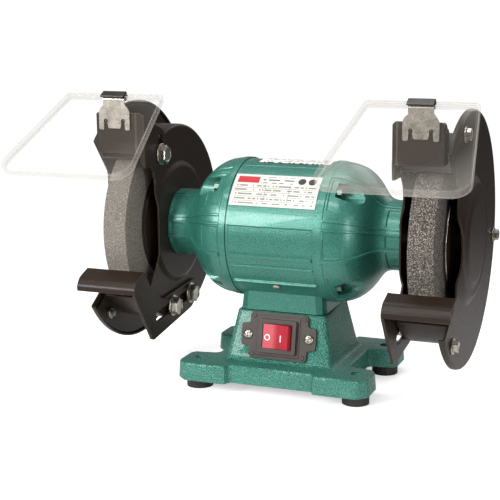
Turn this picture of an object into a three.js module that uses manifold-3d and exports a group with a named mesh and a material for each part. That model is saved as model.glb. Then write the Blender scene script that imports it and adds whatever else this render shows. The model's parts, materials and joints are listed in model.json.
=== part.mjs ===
// A bench grinder with two 150 mm wheels, in millimetres, +Z up.
// +X runs along the shaft to the right-hand wheel, and -Y is the front, where the switch and the
// tool rests are. Every piece is drawn with the shaft over y = 0, and the finished group is then
// moved so that the origin lies on the bench under the middle of the whole object.
// The wheel, guard, tool rest, spark bracket and eye shield are drawn once, at the +X end, and the
// -X end holds the same pieces in a mirrored group.
import * as THREE from 'three';
import { mergeVertices } from 'three/addons/utils/BufferGeometryUtils.js';
import Module from 'manifold-3d';

const wasm = await Module();
wasm.setup();

// ---- Driving sizes ---------------------------------------------------------------------------
const GAP = 0.3; // clearance between pieces that touch
const SHAFT_Z = 128; // height of the shaft above the bench
const ROUND = 32; // sides of a large round
const SMALL_ROUND = 12; // sides of a small round

const WHEEL = { r: 75, bore: 16, half: 10, x: 125 };
const BARREL = { r: 56, inner: 44.3, half: 37 };
const NECK = { r: 28.5, end: 100.2 };
const SHAFT = { core: 9, seat: 7.5, thread: 6, seatFrom: 80, threadFrom: 109, end: 149.5 };
const BEARING = { r: 17.5, from: 83.3, to: 94.7 };
const TIE = { r: 2.5, hole: 2.9, pitch: 50, angle: 47, seat: 49, pocket: 7.6, head: 4.4, headLength: 4 };

const SHEET = 1.6; // guard sheet thickness
const SHELL = { face: 103, boss: 100.5, r: 82, flange: 98, flangeX: 144, hole: 14, bossR: 51 };
const COVER = { r: 101, rim: 141, face: 144.3, boss: 150, bossR: 46 };
const COVER_SCREW = { pitch: 90, angles: [71, -51, 188], hole: 2.8, r: 2.5 };

const BASE = { bottom: 9, top: 24, frontY: 62, waistY: 56, sideX: 81, sideWaistX: 58, lugX: 67, lugY: 42 };
const BOLT_HOLE_R = 4.2;
const FOOT = { r: 10.9, top: 8.7 };
const PEDESTAL = { x0: 45.5, y0: 38.5, x1: 38, y1: 29.9, top: 64, corner: 5 };
const MOTOR_FOOT = { x: 36.8, y: 29.3, bottom: 64.3, neckX: 34.6, neckY: 27.2, chamfer: 7 };
const FACE_LEAN = Math.atan2(PEDESTAL.y0 - PEDESTAL.y1, PEDESTAL.top - BASE.top);
const SWITCH_Z = 45.3;

const REST = { inner: 100.2, sheet: 2.5, outer: 152, slot: 4.2 };
const REST_BOLTS = [[-21.5, 59.6], [13.5, 62.44]]; // y, z
const BRACKET = { inner: 100.4, sheet: 2, plateX: 105, outer: 140.5, armY: -66.4, y: -71, bottom: 194, top: 226 };
const BRACKET_BOLT = [-37, 189.7];
const BRACKET_TRAVEL = 12;
const BOLT = { r: 3.9, washer: 8.8, hex: 7.5 };

const SHIELD_X = 123; // middle of the eye shield
const HINGE = { y: -70.5, z: 236, pin: 1.3, curl: 2.6 };
const SHIELD = { lean: THREE.MathUtils.degToRad(28.6), sheet: 2.2, lift: 2, top: 42, bottom: 56, length: 100 };

// ---- Colours and finishes --------------------------------------------------------------------
const finish = (color, roughness, metalness) =>
  new THREE.MeshStandardMaterial({ color, roughness, metalness });
const TEAL = finish(0x3f8a78, 0.45, 0.3);
const BLACK = finish(0x2e2722, 0.5, 0.4);
const STEEL = finish(0xb8b4ac, 0.3, 0.9);
const GRIT = finish(0x8b8680, 0.95, 0);
const RUBBER = finish(0x221e1c, 0.85, 0);
const SWITCH_BLACK = finish(0x453f3a, 0.6, 0);
const RED = finish(0xc8283c, 0.3, 0);
const CLEAR = new THREE.MeshStandardMaterial({ color: 0xf4f1ea, roughness: 0.1, transparent: true, opacity: 0.3 });
const PLATE_WHITE = finish(0xe8e6e0, 0.4, 0.2);
const COPPER = finish(0xa8602c, 0.4, 0.8);
const IRON = finish(0x6b6966, 0.5, 0.8);

// ---- Solids ----------------------------------------------------------------------------------
// A closed three.js geometry as a solid that can be joined and cut, whichever way its faces turn.
function solid(geometry) {
  const bare = geometry.index ? geometry.toNonIndexed() : geometry.clone();
  bare.deleteAttribute('normal');
  bare.deleteAttribute('uv');
  const merged = mergeVertices(bare, 1e-4);
  const kept = [];
  for (let i = 0; i < merged.index.count; i += 3) {
    const [a, b, c] = [0, 1, 2].map((k) => merged.index.getX(i + k));
    if (a !== b && b !== c && a !== c) kept.push(a, b, c);
  }
  const positions = merged.attributes.position.array;
  const made = (corners) =>
    new wasm.Manifold(
      new wasm.Mesh({ numProp: 3, vertProperties: positions, triVerts: new Uint32Array(corners) }),
    );
  const first = made(kept);
  if (first.volume() > 0) return first;
  return made(kept.reverse());
}

function geometryOf(shape) {
  const { vertProperties, triVerts } = shape.getMesh();
  const geometry = new THREE.BufferGeometry();
  geometry.setAttribute('position', new THREE.BufferAttribute(vertProperties, 3));
  geometry.setIndex(new THREE.BufferAttribute(triVerts, 1));
  geometry.computeVertexNormals();
  return geometry;
}

function piece(name, shape, material) {
  const mesh = new THREE.Mesh(geometryOf(shape), material);
  mesh.name = name;
  return mesh;
}

const join = (first, ...others) => others.reduce((whole, next) => whole.add(next), first);
const cut = (first, ...others) => others.reduce((whole, next) => whole.subtract(next), first);

// A profile of [x, radius] corners turned about a line along X at height z.
function turned(profile, sides = ROUND, y = 0, z = SHAFT_Z) {
  const points = profile.map(([x, r]) => new THREE.Vector2(r, x));
  const closed = profile[0][1] === 0 ? points : [...points, points[0].clone()];
  const lathe = new THREE.LatheGeometry(closed, sides);
  return solid(lathe.rotateZ(-Math.PI / 2).translate(0, y, z));
}

const ring = (x0, x1, r, bore, sides = ROUND, y = 0, z = SHAFT_Z) =>
  turned([[x0, bore], [x1, bore], [x1, r], [x0, r]], sides, y, z);
const rod = (x0, x1, r, sides = SMALL_ROUND, y = 0, z = SHAFT_Z) =>
  turned([[x0, 0], [x0, r], [x1, r], [x1, 0]], sides, y, z);

function box(x0, x1, y0, y1, z0, z1) {
  const geometry = new THREE.BoxGeometry(x1 - x0, y1 - y0, z1 - z0);
  return solid(geometry.translate((x0 + x1) / 2, (y0 + y1) / 2, (z0 + z1) / 2));
}

const post = (x, y, z0, z1, r, sides = SMALL_ROUND) =>
  solid(
    new THREE.CylinderGeometry(r, r, z1 - z0, sides).rotateX(Math.PI / 2).translate(x, y, (z0 + z1) / 2),
  );

// A [y, z] outline drawn out along X.
function alongX(outline, x0, x1) {
  const shape = new THREE.Shape(outline.map(([y, z]) => new THREE.Vector2(y, z)));
  const geometry = new THREE.ExtrudeGeometry(shape, { depth: x1 - x0, bevelEnabled: false });
  const axes = new THREE.Matrix4().makeBasis(
    new THREE.Vector3(0, 1, 0),
    new THREE.Vector3(0, 0, 1),
    new THREE.Vector3(1, 0, 0),
  );
  return solid(geometry.applyMatrix4(axes).translate(x0, 0, 0));
}

// An [x, z] outline drawn out from y0 back to y1.
function alongY(outline, y0, y1) {
  const shape = new THREE.Shape(outline.map(([x, z]) => new THREE.Vector2(x, z)));
  const geometry = new THREE.ExtrudeGeometry(shape, { depth: y1 - y0, bevelEnabled: false });
  return solid(geometry.rotateX(Math.PI / 2).translate(0, y1, 0));
}

// The skin between two outlines of equally many [x, y] corners at two heights.
function loft(lower, z0, upper, z1) {
  const n = lower.length;
  const corners = [...lower.map(([x, y]) => [x, y, z0]), ...upper.map(([x, y]) => [x, y, z1])];
  const caps = THREE.ShapeUtils.triangulateShape(lower.map(([x, y]) => new THREE.Vector2(x, y)), []);
  const faces = caps.flatMap(([a, b, c]) => [[c, b, a], [a + n, b + n, c + n]]);
  for (let i = 0; i < n; i += 1) {
    const j = (i + 1) % n;
    faces.push([i, j, j + n], [i, j + n, i + n]);
  }
  const geometry = new THREE.BufferGeometry();
  geometry.setAttribute('position', new THREE.Float32BufferAttribute(corners.flat(), 3));
  geometry.setIndex(faces.flat());
  return solid(geometry);
}

// The corners of an arc, in degrees, about a centre.
function arc(cx, cy, r, from, to, steps) {
  return Array.from({ length: steps + 1 }, (_, i) => {
    const angle = THREE.MathUtils.degToRad(from + ((to - from) * i) / steps);
    return [cx + r * Math.cos(angle), cy + r * Math.sin(angle)];
  });
}

const roundedBlock = (hx, hy, r, steps = 3) => [
  ...arc(hx - r, hy - r, r, 0, 90, steps),
  ...arc(r - hx, hy - r, r, 90, 180, steps),
  ...arc(r - hx, r - hy, r, 180, 270, steps),
  ...arc(hx - r, r - hy, r, 270, 360, steps),
];

// A slot of half width r between two centres, as an outline.
function slotOutline([ay, az], [by, bz], r, steps = 6) {
  const turn = THREE.MathUtils.radToDeg(Math.atan2(bz - az, by - ay));
  return [
    ...arc(by, bz, r, turn - 90, turn + 90, steps),
    ...arc(ay, az, r, turn + 90, turn + 270, steps),
  ];
}

// A point at a radius and an angle up from the front, as [y, z] about the shaft.
function polar(r, degrees) {
  const angle = THREE.MathUtils.degToRad(degrees);
  return [-r * Math.cos(angle), SHAFT_Z + r * Math.sin(angle)];
}

// A bolt along X: a shank, a washer and a hexagon head on its low side, and a nut at its far end.
function boltAlongX([y, z], { seat, washer, washerR, hexR, head, shankR, end, nut }) {
  return join(
    rod(seat - washer - head, seat - washer + 0.01, hexR, 6, y, z),
    rod(seat - washer, seat, washerR, SMALL_ROUND, y, z),
    rod(seat - 0.01, end, shankR, 8, y, z),
    rod(end - nut, end - 1, hexR, 6, y, z),
  );
}

// ---- Base ------------------------------------------------------------------------------------
// The footprint: four corner lugs, with the front, back and sides drawn in between them.
function footprint(inset) {
  const quarter = [
    [BASE.sideWaistX - inset, 0],
    [BASE.sideWaistX - inset, 24 + inset],
    [BASE.sideX - 4 - inset, 27 + inset],
    [BASE.sideX - inset, 32],
    [BASE.sideX - inset, BASE.frontY - 8],
    [BASE.sideX - 8, BASE.frontY - inset],
    [37 + inset, BASE.frontY - inset],
    [35 + inset, BASE.waistY - inset],
  ];
  const flip = (corners, sx, sy) => corners.map(([x, y]) => [x * sx, y * sy]);
  return [
    ...quarter,
    ...flip([...quarter].reverse(), -1, 1),
    ...flip(quarter.slice(1), -1, -1),
    ...flip([...quarter].reverse().slice(0, -1), 1, -1),
  ];
}

const everyLug = (make) =>
  [[-1, -1], [1, -1], [1, 1], [-1, 1]].map(([sx, sy]) => make(sx * BASE.lugX, sy * BASE.lugY));

// A frame on the leaning front face of the pedestal: local -Y points straight out of the face.
function onSwitchFace(mesh) {
  const fraction = (SWITCH_Z - BASE.top) / (PEDESTAL.top - BASE.top);
  const group = new THREE.Group();
  group.position.set(0, -(PEDESTAL.y0 + fraction * (PEDESTAL.y1 - PEDESTAL.y0)), SWITCH_Z);
  group.rotation.x = -FACE_LEAN;
  group.add(...mesh);
  return group;
}

function atSwitchFace(shape) {
  const mesh = new THREE.Mesh(geometryOf(shape));
  onSwitchFace([mesh]).updateMatrixWorld(true);
  return solid(mesh.geometry.applyMatrix4(mesh.matrixWorld));
}

const SWITCH_SCREW_X = 26;

function baseCasting() {
  const wall = 4;
  const slab = loft(footprint(0), BASE.bottom, footprint(1), BASE.top);
  const tower = loft(
    roundedBlock(PEDESTAL.x0, PEDESTAL.y0, PEDESTAL.corner),
    BASE.top - 0.5,
    roundedBlock(PEDESTAL.x1, PEDESTAL.y1, PEDESTAL.corner),
    PEDESTAL.top,
  );
  const pan = loft(roundedBlock(50, 48, 4), BASE.bottom - 1, roundedBlock(50, 48, 4), BASE.top - wall);
  const inside = loft(
    roundedBlock(PEDESTAL.x0 - wall, PEDESTAL.y0 - wall, 3),
    BASE.top - wall - 1,
    roundedBlock(PEDESTAL.x1 - wall, PEDESTAL.y1 - wall, 3),
    PEDESTAL.top - wall,
  );
  const window = atSwitchFace(box(-15.5, 15.5, -5, 9, -12.5, 12.5));
  const screwHoles = [-SWITCH_SCREW_X, SWITCH_SCREW_X].map((x) =>
    atSwitchFace(solid(new THREE.CylinderGeometry(1.9, 1.9, 20, 12).translate(x, 0, 0))),
  );
  const cordHole = solid(new THREE.CylinderGeometry(8, 8, 20, SMALL_ROUND).translate(0, 36, 35));
  return cut(
    join(slab, tower),
    pan,
    inside,
    window,
    ...screwHoles,
    cordHole,
    post(0, 0, PEDESTAL.top - 6, PEDESTAL.top + 1, 8),
    ...everyLug((x, y) => post(x, y, BASE.bottom - 1, BASE.top + 1, BOLT_HOLE_R)),
  );
}

function foot(x, y) {
  return cut(post(x, y, 0, FOOT.top, FOOT.r, 16), post(x, y, -1, FOOT.top + 1, BOLT_HOLE_R));
}

const bottomPlate = () =>
  loft(roundedBlock(49.6, 47.6, 4), BASE.bottom, roundedBlock(49.6, 47.6, 4), BASE.bottom + 1.5);

// The rubber bush in the back of the pedestal that the supply cord goes through.
function cableGland() {
  const profile = [[27.5, 7.6], [38.8, 7.6], [38.8, 11], [42, 10], [42, 4.2], [27.5, 4.2]];
  const points = [...profile, profile[0]].map(([y, r]) => new THREE.Vector2(r, y));
  return solid(new THREE.LatheGeometry(points, SMALL_ROUND).translate(0, 0, 35));
}

const capacitor = () => rod(-26, 26, 13, 24, 9, 27);

// ---- Switch ----------------------------------------------------------------------------------
const ROCKER = { r: 12.1, half: 9.7, pivot: -3.5, raised: 30, pressed: 14, under: 2 };

function switchPlate() {
  const outline = [
    [-24.7, 18.7], [-24.7, 10.5], [-27, 9], [-32, 9], [-32, -9], [-27, -9], [-24.7, -10.5], [-24.7, -18.7],
    [24.7, -18.7], [24.7, -10.5], [27, -9], [32, -9], [32, 9], [27, 9], [24.7, 10.5], [24.7, 18.7],
  ];
  return cut(
    join(alongY(outline, -GAP - 2.2, -GAP), box(-16, 16, -6, -2, -13.7, 13.7)),
    box(-12.5, 12.5, -7, 1, -10, 10),
    ...[-SWITCH_SCREW_X, SWITCH_SCREW_X].map((x) =>
      solid(new THREE.CylinderGeometry(1.9, 1.9, 20, 12).translate(x, 0, 0)),
    ),
  );
}

// The block behind the plate, hollowed at its front so that the rocker's ends can sink into it.
const switchBody = () => cut(box(-14.5, 14.5, 0, 22, -11.5, 11.5), box(-12.4, 12.4, -1, 2.5, -10, 10));

// The red rocker: its ends are round about its pivot, and its face dips to the middle.
function rocker() {
  const outline = [
    ...arc(0, 0, ROCKER.r, -8, ROCKER.raised, 4),
    [0, 3.1],
    ...arc(0, 0, ROCKER.r, 180 - ROCKER.pressed, 186, 4),
    [-11, -ROCKER.under],
    [11, -ROCKER.under],
  ];
  const shape = new THREE.Shape(outline.map(([x, out]) => new THREE.Vector2(x, -out)));
  const geometry = new THREE.ExtrudeGeometry(shape, { depth: 2 * ROCKER.half, bevelEnabled: false });
  return solid(geometry.translate(0, ROCKER.pivot, -ROCKER.half));
}

function switchScrew(x) {
  const profile = [[0, -5], [2.4, -4.7], [3.6, -3.4], [3.6, -2.8], [1.6, -2.8], [1.6, 6], [0, 6]];
  const points = profile.map(([r, y]) => new THREE.Vector2(r, y));
  return solid(new THREE.LatheGeometry(points, SMALL_ROUND).translate(x, 0, 0));
}

// ---- Motor -----------------------------------------------------------------------------------
const TIE_ANGLES = [TIE.angle, 180 - TIE.angle, 180 + TIE.angle, 360 - TIE.angle];

function motorBarrel() {
  const tube = ring(-BARREL.half, BARREL.half, BARREL.r, BARREL.inner - 5);
  const stand = loft(
    roundedBlock(MOTOR_FOOT.x, MOTOR_FOOT.y, MOTOR_FOOT.chamfer, 1),
    MOTOR_FOOT.bottom,
    roundedBlock(MOTOR_FOOT.neckX, MOTOR_FOOT.neckY, MOTOR_FOOT.chamfer, 1),
    SHAFT_Z - BARREL.inner + 4,
  );
  return cut(
    join(tube, stand),
    rod(-60, 60, BARREL.inner, ROUND),
    post(0, 0, MOTOR_FOOT.bottom - 1, SHAFT_Z - 30, 6),
    ...TIE_ANGLES.map((angle) => rod(-60, 60, TIE.hole, 8, ...polar(TIE.pitch, angle))),
  );
}

// The bell: a rounded dome that closes the barrel and draws in to a long neck round the bearing.
function endBell() {
  const from = BARREL.half + GAP;
  const outer = [
    [from, 57], [43, 57], [50, 56.2], [58, 53.6], [64, 49.3], [69, 44.4], [75, 36], [79, 31], [84, NECK.r],
    [NECK.end, NECK.r],
  ];
  const inner = [
    [NECK.end, 10], [95, 10], [95, BEARING.r + GAP], [80, BEARING.r + GAP], [62, 34], [46, 44.8],
    [from, 44.8],
  ];
  return cut(
    turned([...inner, ...outer]),
    ...TIE_ANGLES.flatMap((angle) => [
      rod(from - 1, 60, TIE.hole, 8, ...polar(TIE.pitch, angle)),
      rod(TIE.seat, 90, TIE.pocket, SMALL_ROUND, ...polar(TIE.pitch + 1.5, angle)),
    ]),
  );
}

function tieBolt(angle) {
  const at = polar(TIE.pitch, angle);
  const seat = TIE.seat + GAP;
  return join(
    rod(-seat, seat, TIE.r, 8, ...at),
    rod(seat - 0.01, seat + TIE.headLength, TIE.head, 8, ...at),
    rod(-seat - TIE.headLength, -seat + 0.01, TIE.head, 8, ...at),
  );
}

function ratingPlate() {
  const outside = arc(0, 0, BARREL.r + 0.9, 122.7, 152.7, 8);
  const inside = arc(0, 0, BARREL.r + GAP, 152.7, 122.7, 8);
  const outline = [...outside, ...inside].map(([y, z]) => [y, z + SHAFT_Z]);
  return alongX(outline, -35.8, 35.8);
}

const statorCore = () => ring(-30, 30, BARREL.inner - GAP - 0.2, 27, 32);
const winding = () => ring(30.3, 41, 41, 30, 24);
const rotorCore = () => ring(-30, 30, 26.4, SHAFT.core + GAP, 24);
const bearing = () => ring(BEARING.from, BEARING.to, BEARING.r, SHAFT.seat + GAP, 20);

function shaft() {
  const half = [
    [SHAFT.seatFrom, SHAFT.core], [SHAFT.seatFrom, SHAFT.seat], [SHAFT.threadFrom, SHAFT.seat],
    [SHAFT.threadFrom, SHAFT.thread], [SHAFT.end - 1, SHAFT.thread], [SHAFT.end, SHAFT.thread - 1],
    [SHAFT.end, 0],
  ];
  return turned([...half.map(([x, r]) => [-x, r]).reverse(), ...half], 16);
}

// ---- Wheel -----------------------------------------------------------------------------------
const wheel = () => ring(WHEEL.x - WHEEL.half, WHEEL.x + WHEEL.half, WHEEL.r, WHEEL.bore, 40);

// A dished clamp plate whose rim bears on the wheel and whose hub fills half of its bore.
// side is -1 on the motor side of the wheel and 1 on the outer side.
function flange(side) {
  const profile = [
    [0.4, SHAFT.thread + GAP], [0.4, WHEEL.bore - GAP], [11.3, WHEEL.bore - GAP], [11.3, 35], [10.3, 36.5],
    [10.3, 44], [12.4, 44], [14, 22], [15.7, 14], [15.7, SHAFT.thread + GAP],
  ];
  return turned(profile.map(([out, r]) => [WHEEL.x + side * out, r]), 24);
}

const shaftNut = () =>
  cut(rod(141, 148.6, 11, 6), rod(140, 150, SHAFT.thread + GAP));

// ---- Guard -----------------------------------------------------------------------------------
// The front opening of the shell and of the cover, seen along the shaft.
const OPENING_TOP = [[-45, 175], [-112.6, 260], [-170, 260]];
const shellOpening = [[-43, 168], ...OPENING_TOP, [-170, 30], [-90, 57], [-64.5, 71], [-57, 81], [-43, 98]];
const coverOpening = [[-44, 168], ...OPENING_TOP, [-170, 16], [-57, 83], [-44, 92]];

function guardShell() {
  const { face, boss, r, flange: edge, flangeX, hole, bossR } = SHELL;
  const back = [
    [boss, hole], [boss, bossR - 4], [face, bossR], [face, r - 2.5], [face + 2.5, r],
    [flangeX - SHEET, r], [flangeX - SHEET, edge], [flangeX, edge],
  ];
  const front = [
    [flangeX, r - SHEET], [face + SHEET + 1.4, r - SHEET], [face + SHEET, r - SHEET - 1.4],
    [face + SHEET, bossR + 0.8], [boss + SHEET, bossR - 3.2], [boss + SHEET, hole],
  ];
  return cut(
    turned([...back, ...front]),
    alongX(shellOpening, 90, 160),
    ...[...REST_BOLTS, BRACKET_BOLT].map((at) => rod(95, 110, BOLT_HOLE_R, SMALL_ROUND, ...at)),
    ...COVER_SCREW.angles.map((a) => rod(135, 150, COVER_SCREW.hole, 8, ...polar(COVER_SCREW.pitch, a))),
  );
}

function guardCover() {
  const { r, rim, face, boss, bossR } = COVER;
  const outside = [
    [boss + SHEET, 0], [boss + SHEET, bossR - 1], [face + SHEET, bossR + 5], [face + SHEET, r - 2.5],
    [face + SHEET - 2.5, r], [rim, r],
  ];
  const inside = [
    [rim, r - SHEET], [face - 1.2, r - SHEET], [face, r - SHEET - 1.2], [face, bossR + 4],
    [boss, bossR - 2], [boss, 0],
  ];
  return cut(
    turned([...outside, ...inside]),
    alongX(coverOpening, 120, 170),
    ...COVER_SCREW.angles.map((a) => rod(135, 150, COVER_SCREW.hole, 8, ...polar(COVER_SCREW.pitch, a))),
  );
}

function coverScrew(angle) {
  const [y, z] = polar(COVER_SCREW.pitch, angle);
  const seat = COVER.face + SHEET + GAP;
  const flangeFace = SHELL.flangeX - SHEET - GAP;
  return join(
    rod(138.6, seat + 0.01, COVER_SCREW.r, 8, y, z),
    rod(seat, seat + 1.2, 6.2, SMALL_ROUND, y, z),
    rod(seat + 1.19, seat + 4.8, 4.8, 6, y, z),
    rod(flangeFace - 2.6, flangeFace, 4.6, 6, y, z),
  );
}

const sideBolt = (at, seat) =>
  boltAlongX(at, {
    seat: seat - GAP,
    washer: 1.3,
    washerR: BOLT.washer,
    hexR: BOLT.hex,
    head: 5.2,
    shankR: BOLT.r,
    end: 110.6,
    nut: 5.6,
  });

// ---- Tool rest -------------------------------------------------------------------------------
const REST_SLOT = [[-50, 57.29], [24, 63.29]]; // centres of the slot's ends: y, z

function toolRest() {
  const side = [
    [-72, 99.5], [-86.5, 94.5], [-91.2, 88.4], [-90.7, 84], [-61.2, 40.4], [-58, 39.2], [16, 49.2],
    [29, 57], [31, 66], [26, 72.6], [18, 72.8], [-40, 69.2], [-60, 81], [-66.5, 91],
  ];
  const table = [
    [-72, 99.5], [-86.5, 94.5], [-91.2, 88.4], [-90.7, 84], [-88.2, 84], [-88.8, 87.7], [-85.1, 92.3],
    [-72.6, 96.6],
  ];
  const { inner, sheet, outer, slot } = REST;
  return cut(
    join(alongX(side, inner, inner + sheet), alongX(table, inner + sheet - 0.5, outer)),
    alongX(slotOutline(...REST_SLOT, slot), inner - 1, inner + sheet + 1),
  );
}

// ---- Spark bracket, clip and eye shield ------------------------------------------------------
function sparkBracket() {
  const { inner, sheet, plateX, outer, armY, y, bottom, top } = BRACKET;
  const [boltY, boltZ] = BRACKET_BOLT;
  const margin = BOLT_HOLE_R + 3.8;
  const arm = [
    [armY, bottom], [armY + 4, boltZ - margin], [boltY + 5, boltZ - margin], [boltY + margin, boltZ - margin + 3],
    [boltY + margin, boltZ + BRACKET_TRAVEL + margin - 3], [boltY + 5, boltZ + BRACKET_TRAVEL + margin],
    [armY, 222],
  ];
  const bend = [
    [inner, armY], [plateX, y], [plateX + 0.6, y], [plateX + 0.6, y + sheet], [inner + sheet, armY + 0.6],
    [inner, armY + 0.6],
  ];
  const front = [
    [plateX, bottom], [outer, bottom], [outer, top - 3], [outer - 2, top], [SHIELD_X + 10, top],
    [SHIELD_X + 10, 232], [SHIELD_X - 10, 232], [SHIELD_X - 10, top], [plateX + 3, top], [plateX, 222],
  ];
  const slot = slotOutline([boltY, boltZ], [boltY, boltZ + BRACKET_TRAVEL], BOLT_HOLE_R);
  return cut(
    join(
      alongX(arm, inner, inner + sheet),
      loft(bend, bottom, bend, 222),
      alongY(front, y, y + sheet),
      box(outer - sheet, outer, y, y + 13, bottom + 3, top - 7),
    ),
    alongX(slot, inner - 1, inner + sheet + 1),
  );
}

// A spring-steel clip: three legs on the front of the bracket, and a curl that holds the shield's pin.
function shieldClip() {
  const x = SHIELD_X;
  const front = BRACKET.y - GAP - 1;
  const face = [
    [x - 13.5, 213], [x - 9.5, 213], [x - 9, 221], [x - 6, 221], [x - 5.5, 214], [x + 5.5, 214],
    [x + 6, 221], [x + 9, 221], [x + 9.5, 213], [x + 13.5, 213], [x + 13.5, 227], [x + 12, 230],
    [x + 9.5, 230], [x + 9.5, 235], [x - 9.5, 235], [x - 9.5, 230], [x - 12, 230], [x - 13.5, 227],
  ];
  const curl = [
    ...arc(HINGE.y, HINGE.z, HINGE.curl, 180, 370, 12),
    ...arc(HINGE.y, HINGE.z, HINGE.pin + GAP, 370, 180, 8),
  ];
  return join(alongY(face, front, front + 1), alongX(curl, x - 9.5, x + 9.5));
}

// The clear shield, drawn flat with its pin on the origin and then leaned forward about the pin.
function eyeShield() {
  const { lean, sheet, lift, top, bottom, length } = SHIELD;
  const rim = 6;
  const corner = 14;
  const edge = (inset) => [
    [inset - top, 3 - inset],
    ...arc(corner - bottom, corner - length, corner - inset, 180, 270, 5),
    ...arc(bottom - corner, corner - length, corner - inset, 270, 360, 5),
    [top - inset, 3 - inset],
  ];
  const slab = loft(edge(0), lift - rim + sheet, edge(0), lift + sheet);
  const hollow = loft(edge(sheet), lift - rim, edge(sheet), lift);
  const backCut = box(-top + sheet + 0.5, top - sheet - 0.5, -12, 8, lift - rim, lift);
  const pin = rod(-9, 9, HINGE.pin, 12, 0, 0);
  const tab = box(-8, 8, -1, 1, 0, lift + 1);
  const flat = geometryOf(join(cut(slab, hollow, backCut), pin, tab));
  return solid(flat.rotateX(lean).translate(SHIELD_X, HINGE.y, HINGE.z));
}

// ---- Assembly --------------------------------------------------------------------------------
const grinder = new THREE.Group();

grinder.add(piece('base_casting', baseCasting(), TEAL));
const FOOT_NAMES = ['foot_front_left', 'foot_front_right', 'foot_back_right', 'foot_back_left'];
everyLug(foot).forEach((shape, i) => grinder.add(piece(FOOT_NAMES[i], shape, RUBBER)));
grinder.add(piece('bottom_plate', bottomPlate(), BLACK));
grinder.add(piece('cable_gland', cableGland(), RUBBER));
grinder.add(piece('run_capacitor', capacitor(), SWITCH_BLACK));
grinder.add(
  onSwitchFace([
    piece('switch_plate', switchPlate(), SWITCH_BLACK),
    piece('switch_body', switchBody(), SWITCH_BLACK),
    piece('switch_rocker', rocker(), RED),
    piece('switch_screw_left', switchScrew(-SWITCH_SCREW_X), STEEL),
    piece('switch_screw_right', switchScrew(SWITCH_SCREW_X), STEEL),
  ]),
);

grinder.add(piece('motor_barrel', motorBarrel(), TEAL));
grinder.add(piece('stator_core', statorCore(), IRON));
grinder.add(piece('rotor_core', rotorCore(), IRON));
grinder.add(piece('shaft', shaft(), STEEL));
grinder.add(piece('rating_plate', ratingPlate(), PLATE_WHITE));
TIE_ANGLES.forEach((angle, i) => grinder.add(piece(`tie_bolt_${i + 1}`, tieBolt(angle), STEEL)));

// Everything at one end of the shaft. side names the pieces, and mirror turns the end to -X.
function grindingEnd(side, mirror) {
  const end = new THREE.Group();
  end.add(
    piece(`end_bell_${side}`, endBell(), TEAL),
    piece(`winding_${side}`, winding(), COPPER),
    piece(`bearing_${side}`, bearing(), STEEL),
    piece(`wheel_${side}`, wheel(), GRIT),
    piece(`inner_flange_${side}`, flange(-1), STEEL),
    piece(`outer_flange_${side}`, flange(1), BLACK),
    piece(`shaft_nut_${side}`, shaftNut(), STEEL),
    piece(`guard_shell_${side}`, guardShell(), BLACK),
    piece(`guard_cover_${side}`, guardCover(), BLACK),
    piece(`tool_rest_${side}`, toolRest(), BLACK),
    piece(`spark_bracket_${side}`, sparkBracket(), BLACK),
    piece(`bracket_bolt_${side}`, sideBolt(BRACKET_BOLT, BRACKET.inner), STEEL),
    piece(`shield_clip_${side}`, shieldClip(), STEEL),
    piece(`eye_shield_${side}`, eyeShield(), CLEAR),
  );
  COVER_SCREW.angles.forEach((a, i) => end.add(piece(`cover_screw_${side}_${i + 1}`, coverScrew(a), STEEL)));
  REST_BOLTS.forEach((at, i) => end.add(piece(`rest_bolt_${side}_${i + 1}`, sideBolt(at, REST.inner), STEEL)));
  end.scale.x = mirror;
  return end;
}

grinder.add(grindingEnd('right', 1), grindingEnd('left', -1));

// The origin goes under the middle of the whole object's depth.
grinder.updateMatrixWorld(true);
const middle = new THREE.Box3().setFromObject(grinder).getCenter(new THREE.Vector3());
grinder.position.y = -middle.y;

export default grinder;
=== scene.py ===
# %% [markdown]
# # A bench grinder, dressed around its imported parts
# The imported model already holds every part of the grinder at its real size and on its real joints.
# This lesson keeps that frame fixed and gives each part the shape detail and the finish that show
# close up: hammered teal paint, satin black sheet, zinc plated bolts, abrasive grain.
# Sizes below are in millimetres over the shaft, because that is how a fitter would measure them.

import json
import math

import bmesh
import bpy
from mathutils import Matrix, Vector


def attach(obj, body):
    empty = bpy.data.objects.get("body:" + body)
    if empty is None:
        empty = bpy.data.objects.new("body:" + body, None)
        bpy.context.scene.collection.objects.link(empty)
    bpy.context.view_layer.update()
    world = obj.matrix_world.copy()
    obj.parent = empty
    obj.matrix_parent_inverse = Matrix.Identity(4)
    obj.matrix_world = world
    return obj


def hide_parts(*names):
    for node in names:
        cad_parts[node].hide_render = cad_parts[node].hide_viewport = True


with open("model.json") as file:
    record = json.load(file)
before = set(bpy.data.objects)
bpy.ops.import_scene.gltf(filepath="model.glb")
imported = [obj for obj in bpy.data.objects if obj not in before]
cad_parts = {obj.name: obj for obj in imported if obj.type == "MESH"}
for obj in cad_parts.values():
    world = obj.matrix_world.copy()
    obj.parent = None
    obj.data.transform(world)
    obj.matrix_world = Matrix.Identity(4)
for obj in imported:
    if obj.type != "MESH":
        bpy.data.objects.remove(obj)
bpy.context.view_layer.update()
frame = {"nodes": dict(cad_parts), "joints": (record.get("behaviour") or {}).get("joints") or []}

# %% [markdown]
# The shaft is the line that the whole machine is built around, so the joint that spins the rotor
# gives the place to measure from. Shapes are drawn in millimetres with the shaft over y = 0, and one
# function moves them into the frame. The left end is the right end mirrored.

# %% Millimetres over the shaft
MM = 0.001
BOLT_HOLE = 4.2  # radius, mm
JOINTS = {joint["name"]: joint for joint in frame["joints"]}
SHAFT = Vector(JOINTS["rotor_spin"]["pos_m"]) / MM
SHAFT_Z = SHAFT.z
SIDES = {"right": False, "left": True}  # whether each end is drawn mirrored
print("the shaft lies at y", round(SHAFT.y, 2), "and z", round(SHAFT_Z, 2), "mm")


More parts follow.
